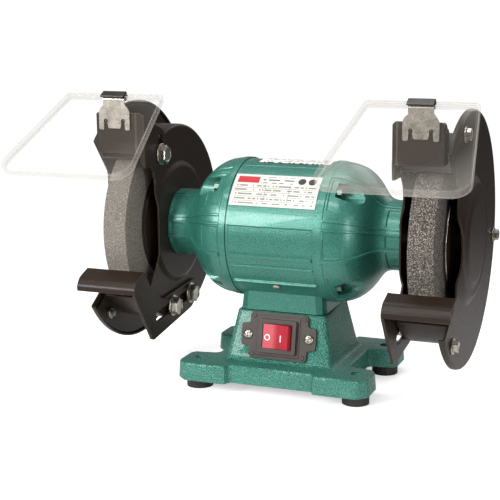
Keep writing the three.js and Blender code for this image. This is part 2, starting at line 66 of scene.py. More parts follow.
def polar(radius, degrees):
    """(y, z) at a radius from the shaft and an angle up from the front."""
    angle = math.radians(degrees)
    return -radius * math.cos(angle), SHAFT_Z + radius * math.sin(angle)


def to_frame(bm, mirror=False):
    """Millimetres over the shaft become metres in the frame."""
    for vert in bm.verts:
        x = -vert.co.x if mirror else vert.co.x
        vert.co = Vector((x, vert.co.y + SHAFT.y, vert.co.z)) * MM
    if mirror:
        bmesh.ops.reverse_faces(bm, faces=bm.faces)


# %% [markdown]
# ## Mesh tools
# Most of the grinder is either turned on a lathe or cut from sheet, so two tools draw nearly all of
# it: one spins a profile about the shaft, and one draws an outline out into a plate. Booleans then
# trim them, and a narrow bevel catches the light along each edge as a real folded sheet does.

# %% Making an object from drawn faces
def drawn(name, bm, material, mirror=False):
    to_frame(bm, mirror)
    bmesh.ops.remove_doubles(bm, verts=bm.verts, dist=1e-7)
    bmesh.ops.recalc_face_normals(bm, faces=bm.faces)
    mesh = bpy.data.meshes.new(name)
    bm.to_mesh(mesh)
    bm.free()
    mesh.materials.append(material)
    made = bpy.data.objects.new(name, mesh)
    bpy.context.scene.collection.objects.link(made)
    return made


def apply_modifiers(made):
    """What the modifiers make becomes the object's own mesh."""
    bpy.context.view_layer.update()
    graph = bpy.context.evaluated_depsgraph_get()
    source = made.evaluated_get(graph)
    fresh = bpy.data.meshes.new_from_object(source, preserve_all_data_layers=True, depsgraph=graph)
    made.modifiers.clear()
    made.data = fresh
    return made


def trim(made, operation, *tools):
    """Joins, cuts or keeps one solid with others, which are used up."""
    for tool in tools:
        boolean = made.modifiers.new("trim", "BOOLEAN")
        boolean.operation = operation
        boolean.solver = "EXACT"
        boolean.object = tool
        apply_modifiers(made)
        bpy.data.objects.remove(tool)
    return made


def crisp(made, degrees=32):
    """Smooth shading, with a hard line wherever two faces turn by more than the angle."""
    bm = bmesh.new()
    bm.from_mesh(made.data)
    for face in bm.faces:
        face.smooth = True
    for edge in bm.edges:
        if len(edge.link_faces) == 2:
            edge.smooth = edge.calc_face_angle(0) < math.radians(degrees)
    bm.to_mesh(made.data)
    bm.free()
    return made


def soften(made, width, segments=2, degrees=32, splits=()):
    """Rounds the edges by a width in millimetres and shades the flats flat.

    A flat face can't hold a hole, so each hole in a sheet is split through its middle at a y from splits.
    """
    bm = bmesh.new()
    bm.from_mesh(made.data)
    for y in splits:
        parts = list(bm.verts) + list(bm.edges) + list(bm.faces)
        at = Vector((0, y + SHAFT.y, 0)) * MM
        halved = bmesh.ops.bisect_plane(bm, geom=parts, dist=1e-7, plane_co=at, plane_no=(0, 1, 0))
        for item in halved["geom_cut"]:
            if isinstance(item, bmesh.types.BMEdge):
                item.seam = True
    flat = math.radians(0.4)
    bmesh.ops.dissolve_limit(bm, angle_limit=flat, verts=bm.verts, edges=bm.edges, delimit={"SEAM"})
    for face in bm.faces:
        face.smooth = True
    bm.to_mesh(made.data)
    bm.free()
    bevel = made.modifiers.new("edge", "BEVEL")
    bevel.width = width * MM
    bevel.segments = segments
    bevel.limit_method = "ANGLE"
    bevel.angle_limit = math.radians(degrees)
    bevel.use_clamp_overlap = False
    bevel.miter_outer = "MITER_ARC"
    flats = made.modifiers.new("flats", "WEIGHTED_NORMAL")
    flats.keep_sharp = False
    return mark_edges(apply_modifiers(made), 1.6 * width)


def mark_edges(made, width):
    """Stores 1 along the middle of each outward rounded edge, for paint that wears thin there and for a
    painted highlight along it.
    """
    bm = bmesh.new()
    bm.from_mesh(made.data)
    marks = []
    for vert in bm.verts:
        narrow = all(2 * face.calc_area() < width * MM * face.calc_perimeter() for face in vert.link_faces)
        around = sum((edge.other_vert(vert).co - vert.co for edge in vert.link_edges), Vector())
        proud = around.dot(vert.normal) < 0
        marks.append(1.0 if narrow and proud else 0.0)
    bm.free()
    made.data.attributes.new("edge", "FLOAT", "POINT").data.foreach_set("value", marks)
    return made


def settle(made, body, slot, *replaced):
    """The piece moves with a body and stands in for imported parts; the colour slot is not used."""
    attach(made, body)
    if replaced:
        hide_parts(*replaced)
    print(f"{made.name}: {len(made.data.polygons)} faces on {body}")
    return made


# %% Turning and cutting
def turned_faces(profile, sides=160, y=0.0, z=SHAFT_Z, spin=0.0):
    """A profile of (x, radius) corners spun about a line along x."""
    bm = bmesh.new()
    rings = []
    for x, radius in profile:
        if radius < 1e-6:
            rings.append([bm.verts.new((x, y, z))] * sides)
            continue
        turn = [2 * math.pi * i / sides + spin for i in range(sides)]
        rings.append([bm.verts.new((x, y - radius * math.cos(t), z + radius * math.sin(t))) for t in turn])
    pairs = list(zip(rings, rings[1:]))
    if profile[0][1] > 1e-6:
        pairs.append((rings[-1], rings[0]))
    for a, b in pairs:
        for i in range(sides):
            corners = [a[i], a[i - 1], b[i - 1], b[i]]
            kept = list(dict.fromkeys(corners))
            if len(kept) > 2:
                bm.faces.new(kept)
    return bm


def plate_faces(outline, low, high, axis="x"):
    """A closed outline drawn out along an axis: (y, z) corners along x, (x, z) along y, (x, y) along z."""
    bm = bmesh.new()
    ends = []
    for at in (low, high):
        corners = {
            "x": [(at, a, b) for a, b in outline],
            "y": [(a, at, b) for a, b in outline],
            "z": [(a, b, at) for a, b in outline],
        }[axis]
        ends.append([bm.verts.new(corner) for corner in corners])
    bm.faces.new(ends[0])
    bm.faces.new(list(reversed(ends[1])))
    for i in range(len(outline)):
        bm.faces.new([ends[0][i - 1], ends[0][i], ends[1][i], ends[1][i - 1]])
    return bm


def stacked_faces(rings):
    """A solid skin over rings of equally many (x, y, z) corners, closed at both ends."""
    bm = bmesh.new()
    made = [[bm.verts.new(corner) for corner in ring] for ring in rings]
    count = len(made[0])
    for a, b in zip(made, made[1:]):
        for i in range(count):
            bm.faces.new([a[i - 1], a[i], b[i], b[i - 1]])
    bm.faces.new(made[0])
    bm.faces.new(list(reversed(made[-1])))
    return bm


def rounded(outline, radius, steps=5):
    """The outline with an arc at each corner. radius is one number, or one for each corner."""
    count = len(outline)
    radii = radius if isinstance(radius, (list, tuple)) else [radius] * count
    out = []
    for i, corner in enumerate(outline):
        before = Vector(outline[i - 1])
        here = Vector(corner)
        after = Vector(outline[(i + 1) % count])
        to_before = (before - here).normalized()
        to_after = (after - here).normalized()
        half = to_before.angle(to_after) / 2
        if radii[i] <= 0 or half > 1.5:
            out.append(tuple(here))
            continue
        room = 0.49 * min((before - here).length, (after - here).length)
        reach = min(radii[i] / math.tan(half), room)
        true = reach * math.tan(half)
        centre = here + (to_before + to_after).normalized() * true / math.sin(half)
        first = here + to_before * reach - centre
        last = here + to_after * reach - centre
        start = math.atan2(first.y, first.x)
        sweep = (math.atan2(last.y, last.x) - start + math.pi) % (2 * math.pi) - math.pi
        for k in range(steps + 1):
            angle = start + sweep * k / steps
            out.append((centre.x + true * math.cos(angle), centre.y + true * math.sin(angle)))
    return out


def oval(a, b, half_a, half_b, sides):
    turn = [2 * math.pi * k / sides for k in range(sides)]
    return [(a + half_a * math.cos(t), b + half_b * math.sin(t)) for t in turn]


def rod_tool(x0, x1, radius, y, z, sides=40, mirror=False):
    """A plain round bar along x, used to cut or join."""
    bm = turned_faces([(x0, 0), (x0, radius), (x1, radius), (x1, 0)], sides, y, z)
    return drawn("tool", bm, TOOL, mirror)


TOOL = bpy.data.materials.new("tool_only")
print("mesh tools ready")

# %% [markdown]
# ## Finishes
# Paint, plate and grain are made from noise that is measured on the part itself, in Object
# coordinates, so a speck has a real size. What several finishes share is built once as a node group:
# a group for fine specks with their painted glints and pit shade, one for soft unevenness, and one for
# worn edges that also carry a painted highlight.

# %% Tools for wiring nodes
def wire(tree, source, target):
    tree.links.new(source, target)


def new_group(name, inputs, outputs):
    """A shader group with named sockets. inputs holds (name, kind, value), outputs holds (name, kind)."""
    kinds = {"float": "NodeSocketFloat", "colour": "NodeSocketColor", "vector": "NodeSocketVector"}
    tree = bpy.data.node_groups.new(name, "ShaderNodeTree")
    for label, kind, value in inputs:
        socket = tree.interface.new_socket(label, in_out="INPUT", socket_type=kinds[kind])
        socket.default_value = value
    for label, kind in outputs:
        tree.interface.new_socket(label, in_out="OUTPUT", socket_type=kinds[kind])
    return tree, tree.nodes.new("NodeGroupInput"), tree.nodes.new("NodeGroupOutput")


def noise(tree, scale, detail=2.0, roughness=0.5, seed=0.0):
    """Noise on Object coordinates. scale is a number or a socket, and seed moves the pattern."""
    place = tree.nodes.new("ShaderNodeTexCoord")
    node = tree.nodes.new("ShaderNodeTexNoise")
    node.noise_dimensions = "4D"
    node.inputs["W"].default_value = seed
    node.inputs["Detail"].default_value = detail
    node.inputs["Roughness"].default_value = roughness
    wire(tree, place.outputs["Object"], node.inputs["Vector"])
    if isinstance(scale, (int, float)):
        node.inputs["Scale"].default_value = scale
    else:
        wire(tree, scale, node.inputs["Scale"])
    return node.outputs["Fac"]


def math_node(tree, operation, a, b=None, c=None, clamp=False):
    node = tree.nodes.new("ShaderNodeMath")
    node.operation = operation
    node.use_clamp = clamp
    for slot, value in zip(node.inputs, (a, b, c)):
        if value is None:
            continue
        if isinstance(value, (int, float)):
            slot.default_value = value
        else:
            wire(tree, value, slot)
    return node.outputs[0]


def spread(tree, value, low, high, out_low=0.0, out_high=1.0):
    """Maps a value from one range to another and holds it inside."""
    node = tree.nodes.new("ShaderNodeMapRange")
    for slot, number in zip(node.inputs[:5], (value, low, high, out_low, out_high)):
        if isinstance(number, (int, float)):
            slot.default_value = number
        else:
            wire(tree, number, slot)
    return node.outputs[0]


def blend(tree, amount, a, b, mode="MIX"):
    """Mixes two colours."""
    node = tree.nodes.new("ShaderNodeMix")
    node.data_type = "RGBA"
    node.blend_type = mode
    for slot, value in ((node.inputs["Factor"], amount), (node.inputs[6], a), (node.inputs[7], b)):
        if isinstance(value, (int, float, tuple)):
            slot.default_value = value
        else:
            wire(tree, value, slot)
    return node.outputs[2]


def rgb(red, green, blue):
    """A colour as the eye names it, from 0 to 255, in the linear values that a shader wants."""
    linear = [((c / 255 + 0.055) / 1.055) ** 2.4 if c > 10 else c / 255 / 12.92 for c in (red, green, blue)]
    return (*linear, 1.0)


# %% The shared groups
def specks_group():
    """Fine glints and pits in a paint or a grain, with a value for bump. Glints are painted highlights on the
    high points, pits painted shade in the low points.
    """
    inputs = [("Body", "colour", (0.5, 0.5, 0.5, 1)), ("Glint", "colour", (1, 1, 1, 1))]
    inputs += [("Pit", "colour", (0, 0, 0, 1)), ("Scale", "float", 1500.0), ("Amount", "float", 0.5)]
    tree, given, out = new_group("fine_specks", inputs, [("Color", "colour"), ("Height", "float")])
    fine = noise(tree, given.outputs["Scale"], 3.0, 0.6, 1.3)
    # Glints are painted highlights and pits are painted shade, on the high and low points of the bump.
    glint = math_node(tree, "MULTIPLY", spread(tree, fine, 0.53, 0.68), given.outputs["Amount"])
    pit_shade = math_node(tree, "MULTIPLY", spread(tree, fine, 0.47, 0.34), given.outputs["Amount"])
    lit = blend(tree, glint, given.outputs["Body"], given.outputs["Glint"])
    wire(tree, blend(tree, pit_shade, lit, given.outputs["Pit"]), out.inputs["Color"])
    wire(tree, fine, out.inputs["Height"])
    return tree


def mottle_group():
    """Slow changes of shade over a few centimetres, as handling and uneven spray leave."""
    inputs = [("Color", "colour", (0.5, 0.5, 0.5, 1)), ("Scale", "float", 30.0), ("Amount", "float", 0.15)]
    tree, given, out = new_group("soft_mottle", inputs, [("Color", "colour"), ("Mask", "float")])
    slow = noise(tree, given.outputs["Scale"], 3.0, 0.55, 4.1)
    mask = spread(tree, slow, 0.35, 0.65)
    low = math_node(tree, "SUBTRACT", 1.0, given.outputs["Amount"])
    high = math_node(tree, "ADD", 1.0, given.outputs["Amount"])
    shade = spread(tree, mask, 0.0, 1.0, low, high)
    scaled = tree.nodes.new("ShaderNodeVectorMath")
    scaled.operation = "SCALE"
    wire(tree, given.outputs["Color"], scaled.inputs[0])
    wire(tree, shade, scaled.inputs["Scale"])
    wire(tree, scaled.outputs[0], out.inputs["Color"])
    wire(tree, mask, out.inputs["Mask"])
    return tree


def worn_and_highlit_edges_group():
    """Where an edge stands out, the paint is thinner and lighter, in a broken line: partly worn paint, partly
    a painted highlight along the edge.
    """
    inputs = [("Color", "colour", (0.5, 0.5, 0.5, 1)), ("Worn", "colour", (1, 1, 1, 1))]
    inputs += [("Amount", "float", 0.5), ("Break", "float", 400.0)]
    tree, given, out = new_group("worn_edges", inputs, [("Color", "colour"), ("Mask", "float")])
    shape = tree.nodes.new("ShaderNodeAttribute")
    shape.attribute_name = "edge"
    # The lighter colour on proud edges is part wear and part painted highlight.
    proud = spread(tree, shape.outputs["Fac"], 0.35, 0.9)
    broken = spread(tree, noise(tree, given.outputs["Break"], 2.0, 0.5, 7.7), 0.3, 0.6, 0.35, 1.0)
    mask = math_node(tree, "MULTIPLY", math_node(tree, "MULTIPLY", proud, broken), given.outputs["Amount"])
    wire(tree, blend(tree, mask, given.outputs["Color"], given.outputs["Worn"]), out.inputs["Color"])
    wire(tree, mask, out.inputs["Mask"])
    return tree


SPECKS = specks_group()
MOTTLE = mottle_group()
WEAR_AND_HIGHLIGHT = worn_and_highlit_edges_group()
print("shared groups:", SPECKS.name, MOTTLE.name, WEAR_AND_HIGHLIGHT.name)


# %% [markdown]
# A finish is then a short chain: specks with painted glints and pit shade, mottle, and edge wear with its
# painted highlight set the colour, and the same specks lift the surface through a Bump node. Numbers that
# are the same all over go straight on the shader.

# %% A painted finish
def use_group(tree, group, **values):
    node = tree.nodes.new("ShaderNodeGroup")
    node.node_tree = group
    for label, value in values.items():
        slot = node.inputs[label]
        if isinstance(value, (int, float, tuple)):
            slot.default_value = value
        else:
            wire(tree, value, slot)
    return node


def new_material(name, **values):
    """A material with one Principled shader. Spaces in socket names are written as underscores."""
    made = bpy.data.materials.new(name)
    made.use_nodes = True
    shader = made.node_tree.nodes["Principled BSDF"]
    for label, value in values.items():
        shader.inputs[label.replace("_", " ")].default_value = value
    return made, made.node_tree, shader


def bump(tree, shader, height, distance, strength=1.0):
    node = tree.nodes.new("ShaderNodeBump")
    node.inputs["Distance"].default_value = distance * MM
    node.inputs["Strength"].default_value = strength
    wire(tree, height, node.inputs["Height"])
    wire(tree, node.outputs["Normal"], shader.inputs["Normal"])


def painted(name, body, glint, pit_shade, worn_and_lit, speck=1500.0, amount=0.5, lumps=500.0, lift=0.2, **values):
    made, tree, shader = new_material(name, **values)
    fine = use_group(tree, SPECKS, Body=body, Glint=glint, Pit=pit_shade, Scale=speck, Amount=amount)
    slow = use_group(tree, MOTTLE, Color=fine.outputs["Color"], Scale=22.0, Amount=0.08)
    # Lighter edges: worn paint and a painted highlight along each rounded edge.
    edge = use_group(tree, WEAR_AND_HIGHLIGHT, Color=slow.outputs["Color"], Worn=worn_and_lit, Amount=0.6, Break=500.0)
    wire(tree, edge.outputs["Color"], shader.inputs["Base Color"])
    rough = values.get("Roughness", 0.4)
    gloss = spread(tree, fine.outputs["Height"], 0.35, 0.65, rough - 0.07, rough + 0.1)
    wire(tree, gloss, shader.inputs["Roughness"])
    coarse = spread(tree, noise(tree, lumps, 2.0, 0.5, 2.2), 0.3, 0.7)
    height = math_node(tree, "ADD", math_node(tree, "MULTIPLY", fine.outputs["Height"], 0.35), coarse)
    bump(tree, shader, height, lift)
    return made


# Each paint's colours are its body, its painted glint, the painted shade in its pits, and its worn edge with
# a painted highlight.
MOTOR_TEAL = painted(
    "motor_teal_paint", rgb(44, 112, 98), rgb(118, 176, 156), rgb(18, 58, 52), rgb(150, 196, 176),
    speck=1900.0, amount=0.5, lumps=1000.0, lift=0.1, Metallic=0.3, Roughness=0.3, Coat_Weight=0.2,
)
CAST_TEAL = painted(
    "cast_teal_paint", rgb(48, 118, 102), rgb(126, 186, 164), rgb(20, 66, 58), rgb(150, 196, 178),
    speck=1300.0, amount=0.6, lumps=720.0, lift=0.75, Metallic=0.3, Roughness=0.3, Coat_Weight=0.2,
)
SHEET_BLACK = painted(
    "sheet_black_paint", rgb(37, 26, 19), rgb(60, 47, 37), rgb(20, 13, 9), rgb(108, 92, 76),
    speck=1600.0, amount=0.35, lumps=700.0, lift=0.05, Roughness=0.36, Specular_IOR_Level=0.25,
)
print("paints ready")


# %% Metal, rubber and plastic
def plated(name, colour, roughness=0.28, brush=900.0):
    """Bright zinc plate: even colour, cloudy gloss, fine scratches."""
    made, tree, shader = new_material(name, Metallic=1.0)
    slow = use_group(tree, MOTTLE, Color=colour, Scale=160.0, Amount=0.22)
    wire(tree, slow.outputs["Color"], shader.inputs["Base Color"])
    fine = noise(tree, brush, 3.0, 0.6, 9.1)
    wire(tree, spread(tree, fine, 0.3, 0.7, roughness - 0.1, roughness + 0.14), shader.inputs["Roughness"])
    bump(tree, shader, fine, 0.03)
    return made


def moulded(name, body, roughness=0.5, grain=1400.0, lift=0.04, **values):
    """Moulded plastic or rubber with a slight spark texture."""
    made, tree, shader = new_material(name, **values)
    slow = use_group(tree, MOTTLE, Color=body, Scale=90.0, Amount=0.14)
    # A lighter edge colour: worn moulding and a painted highlight along each rounded edge.
    worn_and_lit = rgb(128, 116, 106)
    edge = use_group(tree, WEAR_AND_HIGHLIGHT, Color=slow.outputs["Color"], Worn=worn_and_lit, Amount=0.35, Break=300.0)
    wire(tree, edge.outputs["Color"], shader.inputs["Base Color"])
    fine = noise(tree, grain, 2.0, 0.5, 5.5)
    wire(tree, spread(tree, fine, 0.3, 0.7, roughness - 0.06, roughness + 0.1), shader.inputs["Roughness"])
    bump(tree, shader, fine, lift)
    return made


ZINC = plated("zinc_plate", rgb(184, 178, 168))
SPRING = plated("spring_steel", rgb(186, 178, 166), 0.3, 1400.0)
TURNED_STEEL = plated("turned_steel", rgb(198, 192, 184), 0.22, 2400.0)
IRON = plated("sheet_iron", rgb(96, 92, 88), 0.45)
COPPER = plated("enamelled_copper", rgb(168, 92, 46), 0.35)
RUBBER = moulded("black_rubber", rgb(34, 30, 28), 0.55)
SWITCH_DARK = moulded("switch_moulding", rgb(52, 43, 38), 0.5)
CAP_BLACK = moulded("cap_plastic", rgb(30, 26, 24), 0.28)
BLOTTER = moulded("blotter_card", rgb(38, 33, 30), 0.8)
print("metal, rubber and plastic ready")


# %% [markdown]
# A grinding wheel is grain held in a glassy bond. Each grain is a cell of a Voronoi pattern with its
# own shade, and the dark bond shows in the pores between. The right wheel is coarse, the left fine.

# %% Abrasive grain
def abrasive(name, scale, light, dark, contrast):
    made, tree, shader = new_material(name, Roughness=0.75)
    place = tree.nodes.new("ShaderNodeTexCoord")
    cells = tree.nodes.new("ShaderNodeTexVoronoi")
    cells.inputs["Scale"].default_value = scale
    wire(tree, place.outputs["Object"], cells.inputs["Vector"])
    own = tree.nodes.new("ShaderNodeSeparateColor")
    wire(tree, cells.outputs["Color"], own.inputs[0])
    pores = spread(tree, noise(tree, scale * 0.8, 2.0, 0.6, 3.3), 0.42, 0.58)
    shade = math_node(tree, "MULTIPLY", own.outputs[0], pores)
    shade = spread(tree, shade, 0.5 - contrast, 0.5 + contrast)
    wire(tree, blend(tree, shade, dark, light), shader.inputs["Base Color"])
    rise = math_node(tree, "SUBTRACT", shade, cells.outputs["Distance"])
    bump(tree, shader, rise, 0.35)
    return made


COARSE_GRIT = abrasive("coarse_grit", 1350.0, rgb(176, 168, 157), rgb(52, 45, 40), 0.44)
FINE_GRIT = abrasive("fine_grit", 1600.0, rgb(180, 173, 163), rgb(104, 97, 89), 0.5)
print("abrasives ready")


# %% Clear shield plastic
def clear_plastic(name, clear, hazy, roughness, middle=(0, 0, 0)):
    """middle is the clearest point, in millimetres over the shaft, and haze gathers away from it."""
    made, tree, shader = new_material(name, IOR=1.5)
    place = tree.nodes.new("ShaderNodeTexCoord")
    away = tree.nodes.new("ShaderNodeVectorMath")
    away.operation = "DISTANCE"
    away.inputs[1].default_value = Vector((middle[0], middle[1] + SHAFT.y, middle[2])) * MM
    wire(tree, place.outputs["Object"], away.inputs[0])
    alpha = spread(tree, away.outputs["Value"], 0.026, 0.062, clear, hazy)
    wire(tree, alpha, shader.inputs["Alpha"])
    slow = use_group(tree, MOTTLE, Color=rgb(192, 186, 177), Scale=25.0, Amount=0.03)
    wire(tree, slow.outputs["Color"], shader.inputs["Base Color"])
    fine = noise(tree, 60.0, 2.0, 0.5, 6.2)
    wire(tree, spread(tree, fine, 0.3, 0.7, roughness, roughness + 0.06), shader.inputs["Roughness"])
    bump(tree, shader, fine, 0.05)
    return made


CLEAR = {
    "right": clear_plastic("clear_shield_right", 0.02, 0.11, 0.06, (138, -112, 218)),
    "left": clear_plastic("clear_shield_left", 0.02, 0.07, 0.06, (-108, -112, 218)),
}
CLEAR_RIM = clear_plastic("clear_shield_rim", 0.2, 0.22, 0.12)
print("clear plastic ready")

# %% [markdown]
# ## Motor
# The barrel is a tube with ribs along it, and each bell is a dome that draws in to a long neck. Both
# follow one rule: a profile spun about the shaft, raised or lowered by a height that depends on the
# angle and the place along the shaft. Extra stations at each rib's edges keep the steps sharp.

# %% Ribbed skins
def rise(value, edge, soft):
    """0 below an edge and 1 above it, with a soft ramp."""
    t = min(1.0, max(0.0, (value - edge + soft) / (2 * soft)))
    return t * t * (3 - 2 * t)


def between(value, low, high, soft):
    return rise(value, low, soft) * (1 - rise(value, high, soft))


def stations(low, high, step, edges, soft):
    """Even stations, with four more at each edge."""
    count = round((high - low) / step)
    found = {round(low + (high - low) * i / count, 4) for i in range(count + 1)}
    for edge in edges:
        found |= {round(edge + k * soft, 4) for k in (-1.0, -0.4, 0.4, 1.0)}
    return sorted(v for v in found if low <= v <= high)


def folded(degrees):
    """Front and back are alike, so an angle round the back is read as its mirror at the front."""
    turn = (degrees + 180) % 360 - 180
    return turn if abs(turn) <= 90 else math.copysign(180, turn) - turn


def all_round(edges, soft, step=2.5):
    """Stations all the way round for edges that are given at the front."""
    both = list(edges) + [180 - edge for edge in edges]
    return [a for a in stations(-180, 180, step, [(e + 180) % 360 - 180 for e in both], soft) if a < 180]


def skin_faces(outer, inner, angles):
    """outer(angle) gives the (x, radius) line at an angle, and inner the fixed line back."""
    bm = bmesh.new()
    columns = []
    for angle in angles:
        line = outer(angle) + inner
        column = [(x, *polar(radius, angle)) for x, radius in line]
        columns.append([bm.verts.new(corner) for corner in column])
    for a, b in zip(columns, columns[1:] + columns[:1]):
        for i in range(len(a)):
            bm.faces.new([a[i - 1], a[i], b[i], b[i - 1]])
    return bm


# %% The barrel
BARREL_R = 55.7
BARREL_END = 37.0
RIBS = [(-13.5, 1.5, 2.1), (-23.0, 0.9, 1.6), (-40.0, 0.75, 1.7), (72.0, 0.6, 0.5)]  # angle, half, height
RIB_SOFT = 0.35
STEP_AT = 11.0
PLATE_TOP = 60.0


def barrel_height(x, angle):
    front = folded(angle)
    along = between(x, -34.6, 34.6, 0.4)
    height = sum(high * between(front, at - half, at + half, RIB_SOFT) for at, half, high in RIBS)
    height += 0.45 * between(front, STEP_AT, PLATE_TOP, RIB_SOFT)
    height -= 0.5 * between(front, STEP_AT - 0.5, STEP_AT, RIB_SOFT)
    return height * along + 0.45 * (1 - along)


def barrel_faces():
    across = stations(-BARREL_END, BARREL_END, 6.0, [-34.6, 34.6], 0.4)
    edges = [at + side * half for at, half, _ in RIBS for side in (-1, 1)]
    angles = all_round(edges + [STEP_AT, STEP_AT - 0.5, PLATE_TOP], RIB_SOFT)
    inner = [(BARREL_END, 44.5), (-BARREL_END, 44.5)]
    return skin_faces(lambda a: [(x, BARREL_R + barrel_height(x, a)) for x in across], inner, angles)


def block_rings(levels, corner, steps=6):
    """Rings of a rounded block. levels holds (z, half x, half y)."""
    rings = []
    for z, hx, hy in levels:
        corners = [(-hx, -hy), (hx, -hy), (hx, hy), (-hx, hy)]
        rings.append([(x, y, z) for x, y in rounded(corners, corner, steps)])
    return rings


barrel = drawn("barrel", barrel_faces(), MOTOR_TEAL)
stand = [(64.3, 36.0, 28.5), (64.9, 36.8, 29.3), (68.0, 36.4, 28.9), (88.0, 34.6, 27.2)]
trim(barrel, "UNION", drawn("tool", stacked_faces(block_rings(stand, 7, 2)), MOTOR_TEAL))
trim(barrel, "DIFFERENCE", rod_tool(-60, 60, 44.5, 0, SHAFT_Z, 96))
crisp(barrel, 22)
settle(barrel, "frame", "teal_paint", "motor_barrel")

# %% The end bells
BELL_LINE = [
    (37.3, 57.0), (42.5, 57.0), (48, 56.5), (53, 55.5), (57, 53.8), (61, 51.6), (65, 48.4), (69, 44.2),
    (72.5, 39.3), (75.5, 34.8), (78.5, 31.3), (82, 29.2), (86, 28.5), (100.1, 28.5),
]
BELL_RIBS = [(-13.5, 1.6, 2.0), (11.5, 1.0, 1.2), (18.5, 0.9, 0.9), (59.5, 1.1, 1.0), (66.0, 1.0, 0.7)]
BELL_PANELS = [(-11.5, 9.0, 44.0, 59.0), (27.5, 56.5, 45.0, 57.5), (-64.0, -30.0, 45.0, 58.0)]
NECK_PANELS = [(-10.5, 8.5, 85.5, 98.0), (24.0, 54.0, 85.5, 98.0), (-60.0, -20.0, 85.5, 98.0)]


def bell_radius(x):
    for (x0, r0), (x1, r1) in zip(BELL_LINE, BELL_LINE[1:]):
        if x <= x1:
            return r0 + (r1 - r0) * (x - x0) / (x1 - x0)
    return BELL_LINE[-1][1]


def smooth_bell(x):
    """The bell's profile with its corners rounded off by averaging over 5 mm."""
    if x < 42.5:
        return BELL_LINE[0][1]
    near = [bell_radius(min(100.1, max(42.5, x + k))) for k in (-2.5, -1.25, 0, 1.25, 2.5)]
    return sum(near) / len(near)


def bell_height(x, angle):
    front = folded(angle)
    past_rim = rise(x, 42.9, 0.35)
    height = -0.55 * past_rim
    ribs = sum(high * between(front, at - half, at + half, RIB_SOFT) for at, half, high in BELL_RIBS)
    height += ribs * past_rim
    for low, high, x0, x1 in BELL_PANELS + NECK_PANELS:
        height -= 0.75 * between(front, low, high, 0.5) * between(x, x0, x1, 0.4)
    return height


def bell_faces():
    across = stations(37.3, 100.1, 1.5, [42.9, 44.0, 45.0, 57.5, 58.0, 59.0, 85.5, 98.0], 0.35)
    edges = [at + side * half for at, half, _ in BELL_RIBS for side in (-1, 1)]
    edges += [edge for low, high, _, _ in BELL_PANELS + NECK_PANELS for edge in (low, high)]
    inner = [(100.1, 10.5), (95.2, 10.5), (95.2, 18), (80, 18), (62, 34), (46, 44.8), (37.3, 44.8)]
    outer = lambda a: [(x, smooth_bell(x) + bell_height(x, a)) for x in across]
    return skin_faces(outer, inner, all_round(edges, RIB_SOFT))


TIE_ANGLES = [47, 133, 227, 313]
for side, mirror in SIDES.items():
    bell = drawn(f"bell_{side}", bell_faces(), MOTOR_TEAL, mirror)
    pockets = [rod_tool(49.2, 90, 7.8, *polar(50.6, a), mirror=mirror) for a in TIE_ANGLES]
    holes = [rod_tool(30, 60, 2.9, *polar(50, a), 16, mirror) for a in TIE_ANGLES]
    trim(bell, "DIFFERENCE", *pockets, *holes)
    crisp(bell, 22)
    settle(bell, "frame", "teal_paint", f"end_bell_{side}")

# %% [markdown]
# ## Base
# The base is a sand casting, so nothing on it is sharp: every edge carries a radius, and a fillet runs
# round the foot of the pedestal. Rings stacked one above the other draw the slab and the pedestal with
# those radii built in, and booleans open the bolt holes and the switch window.

# %% The footprint and its rounded slab
BASE_TOP = 24.0
BASE_HALF = (45.5, 38.5)  # half sizes of the pedestal's foot, across and from front to back
TOP = 64.0
TOP_HALF = (38.0, 29.9)  # and of its top
LUG = (67.0, 42.0)


def footprint():
    quarter = [(58, 0), (58, 24), (77, 27), (81, 32), (81, 54), (73, 62), (37, 62), (35, 56)]
    half = quarter + [(-x, y) for x, y in reversed(quarter)]
    lower = [(-x, -y) for x, y in quarter[1:]] + [(x, -y) for x, y in reversed(quarter[1:])]
    return half + lower


def inset(outline, distance):
    """Each corner of the outline moved inwards, so that every edge moves by the distance."""
    out = []
    for i, corner in enumerate(outline):
        here = Vector(corner)
        a = (here - Vector(outline[i - 1])).normalized()
        b = (Vector(outline[(i + 1) % len(outline)]) - here).normalized()
        normal = (Vector((-a.y, a.x)) + Vector((-b.y, b.x))).normalized()
        lean = max(0.4, normal.dot(Vector((-a.y, a.x))))
        out.append(tuple(here + normal * distance / lean))
    return out


def slab_faces():
    radii = [0, 4, 3.5, 5, 6, 6, 3, 3.5]
    corners = radii + radii[::-1] + radii[1:] + radii[::-1][:-1]
    plan = rounded(footprint(), corners, 4)
    levels = [(9.0, 0.7), (9.7, 0.0), (21.8, 0.9), (22.9, 1.15), (23.6, 1.7), (24.0, 2.7)]
    return stacked_faces([[(x, y, z) for x, y in inset(plan, d)] for z, d in levels])


def pedestal_faces():
    levels = []
    for z, out in [(22.0, 3.4), (24.0, 3.2), (24.5, 2.0), (25.3, 1.1), (26.6, 0.4), (28.5, 0.0), (62.9, 0.0)]:
        t = (z - BASE_TOP) / (TOP - BASE_TOP)
        hx, hy = (foot + t * (top - foot) + out for foot, top in zip(BASE_HALF, TOP_HALF))
        levels.append((z, hx, hy))
    levels += [(63.6, 37.8, 29.7), (64.0, 37.0, 28.9)]
    return stacked_faces(block_rings(levels, 4.5))


# %% Opening the casting
LEAN = math.atan2(BASE_HALF[1] - TOP_HALF[1], TOP - BASE_TOP)
SWITCH_Z = 45.3
SWITCH_UP = (SWITCH_Z - BASE_TOP) / (TOP - BASE_TOP)
SWITCH_AT = Vector((0, -(BASE_HALF[1] + SWITCH_UP * (TOP_HALF[1] - BASE_HALF[1])), SWITCH_Z))
SWITCH_TURN = Matrix.Rotation(-LEAN, 3, "X")


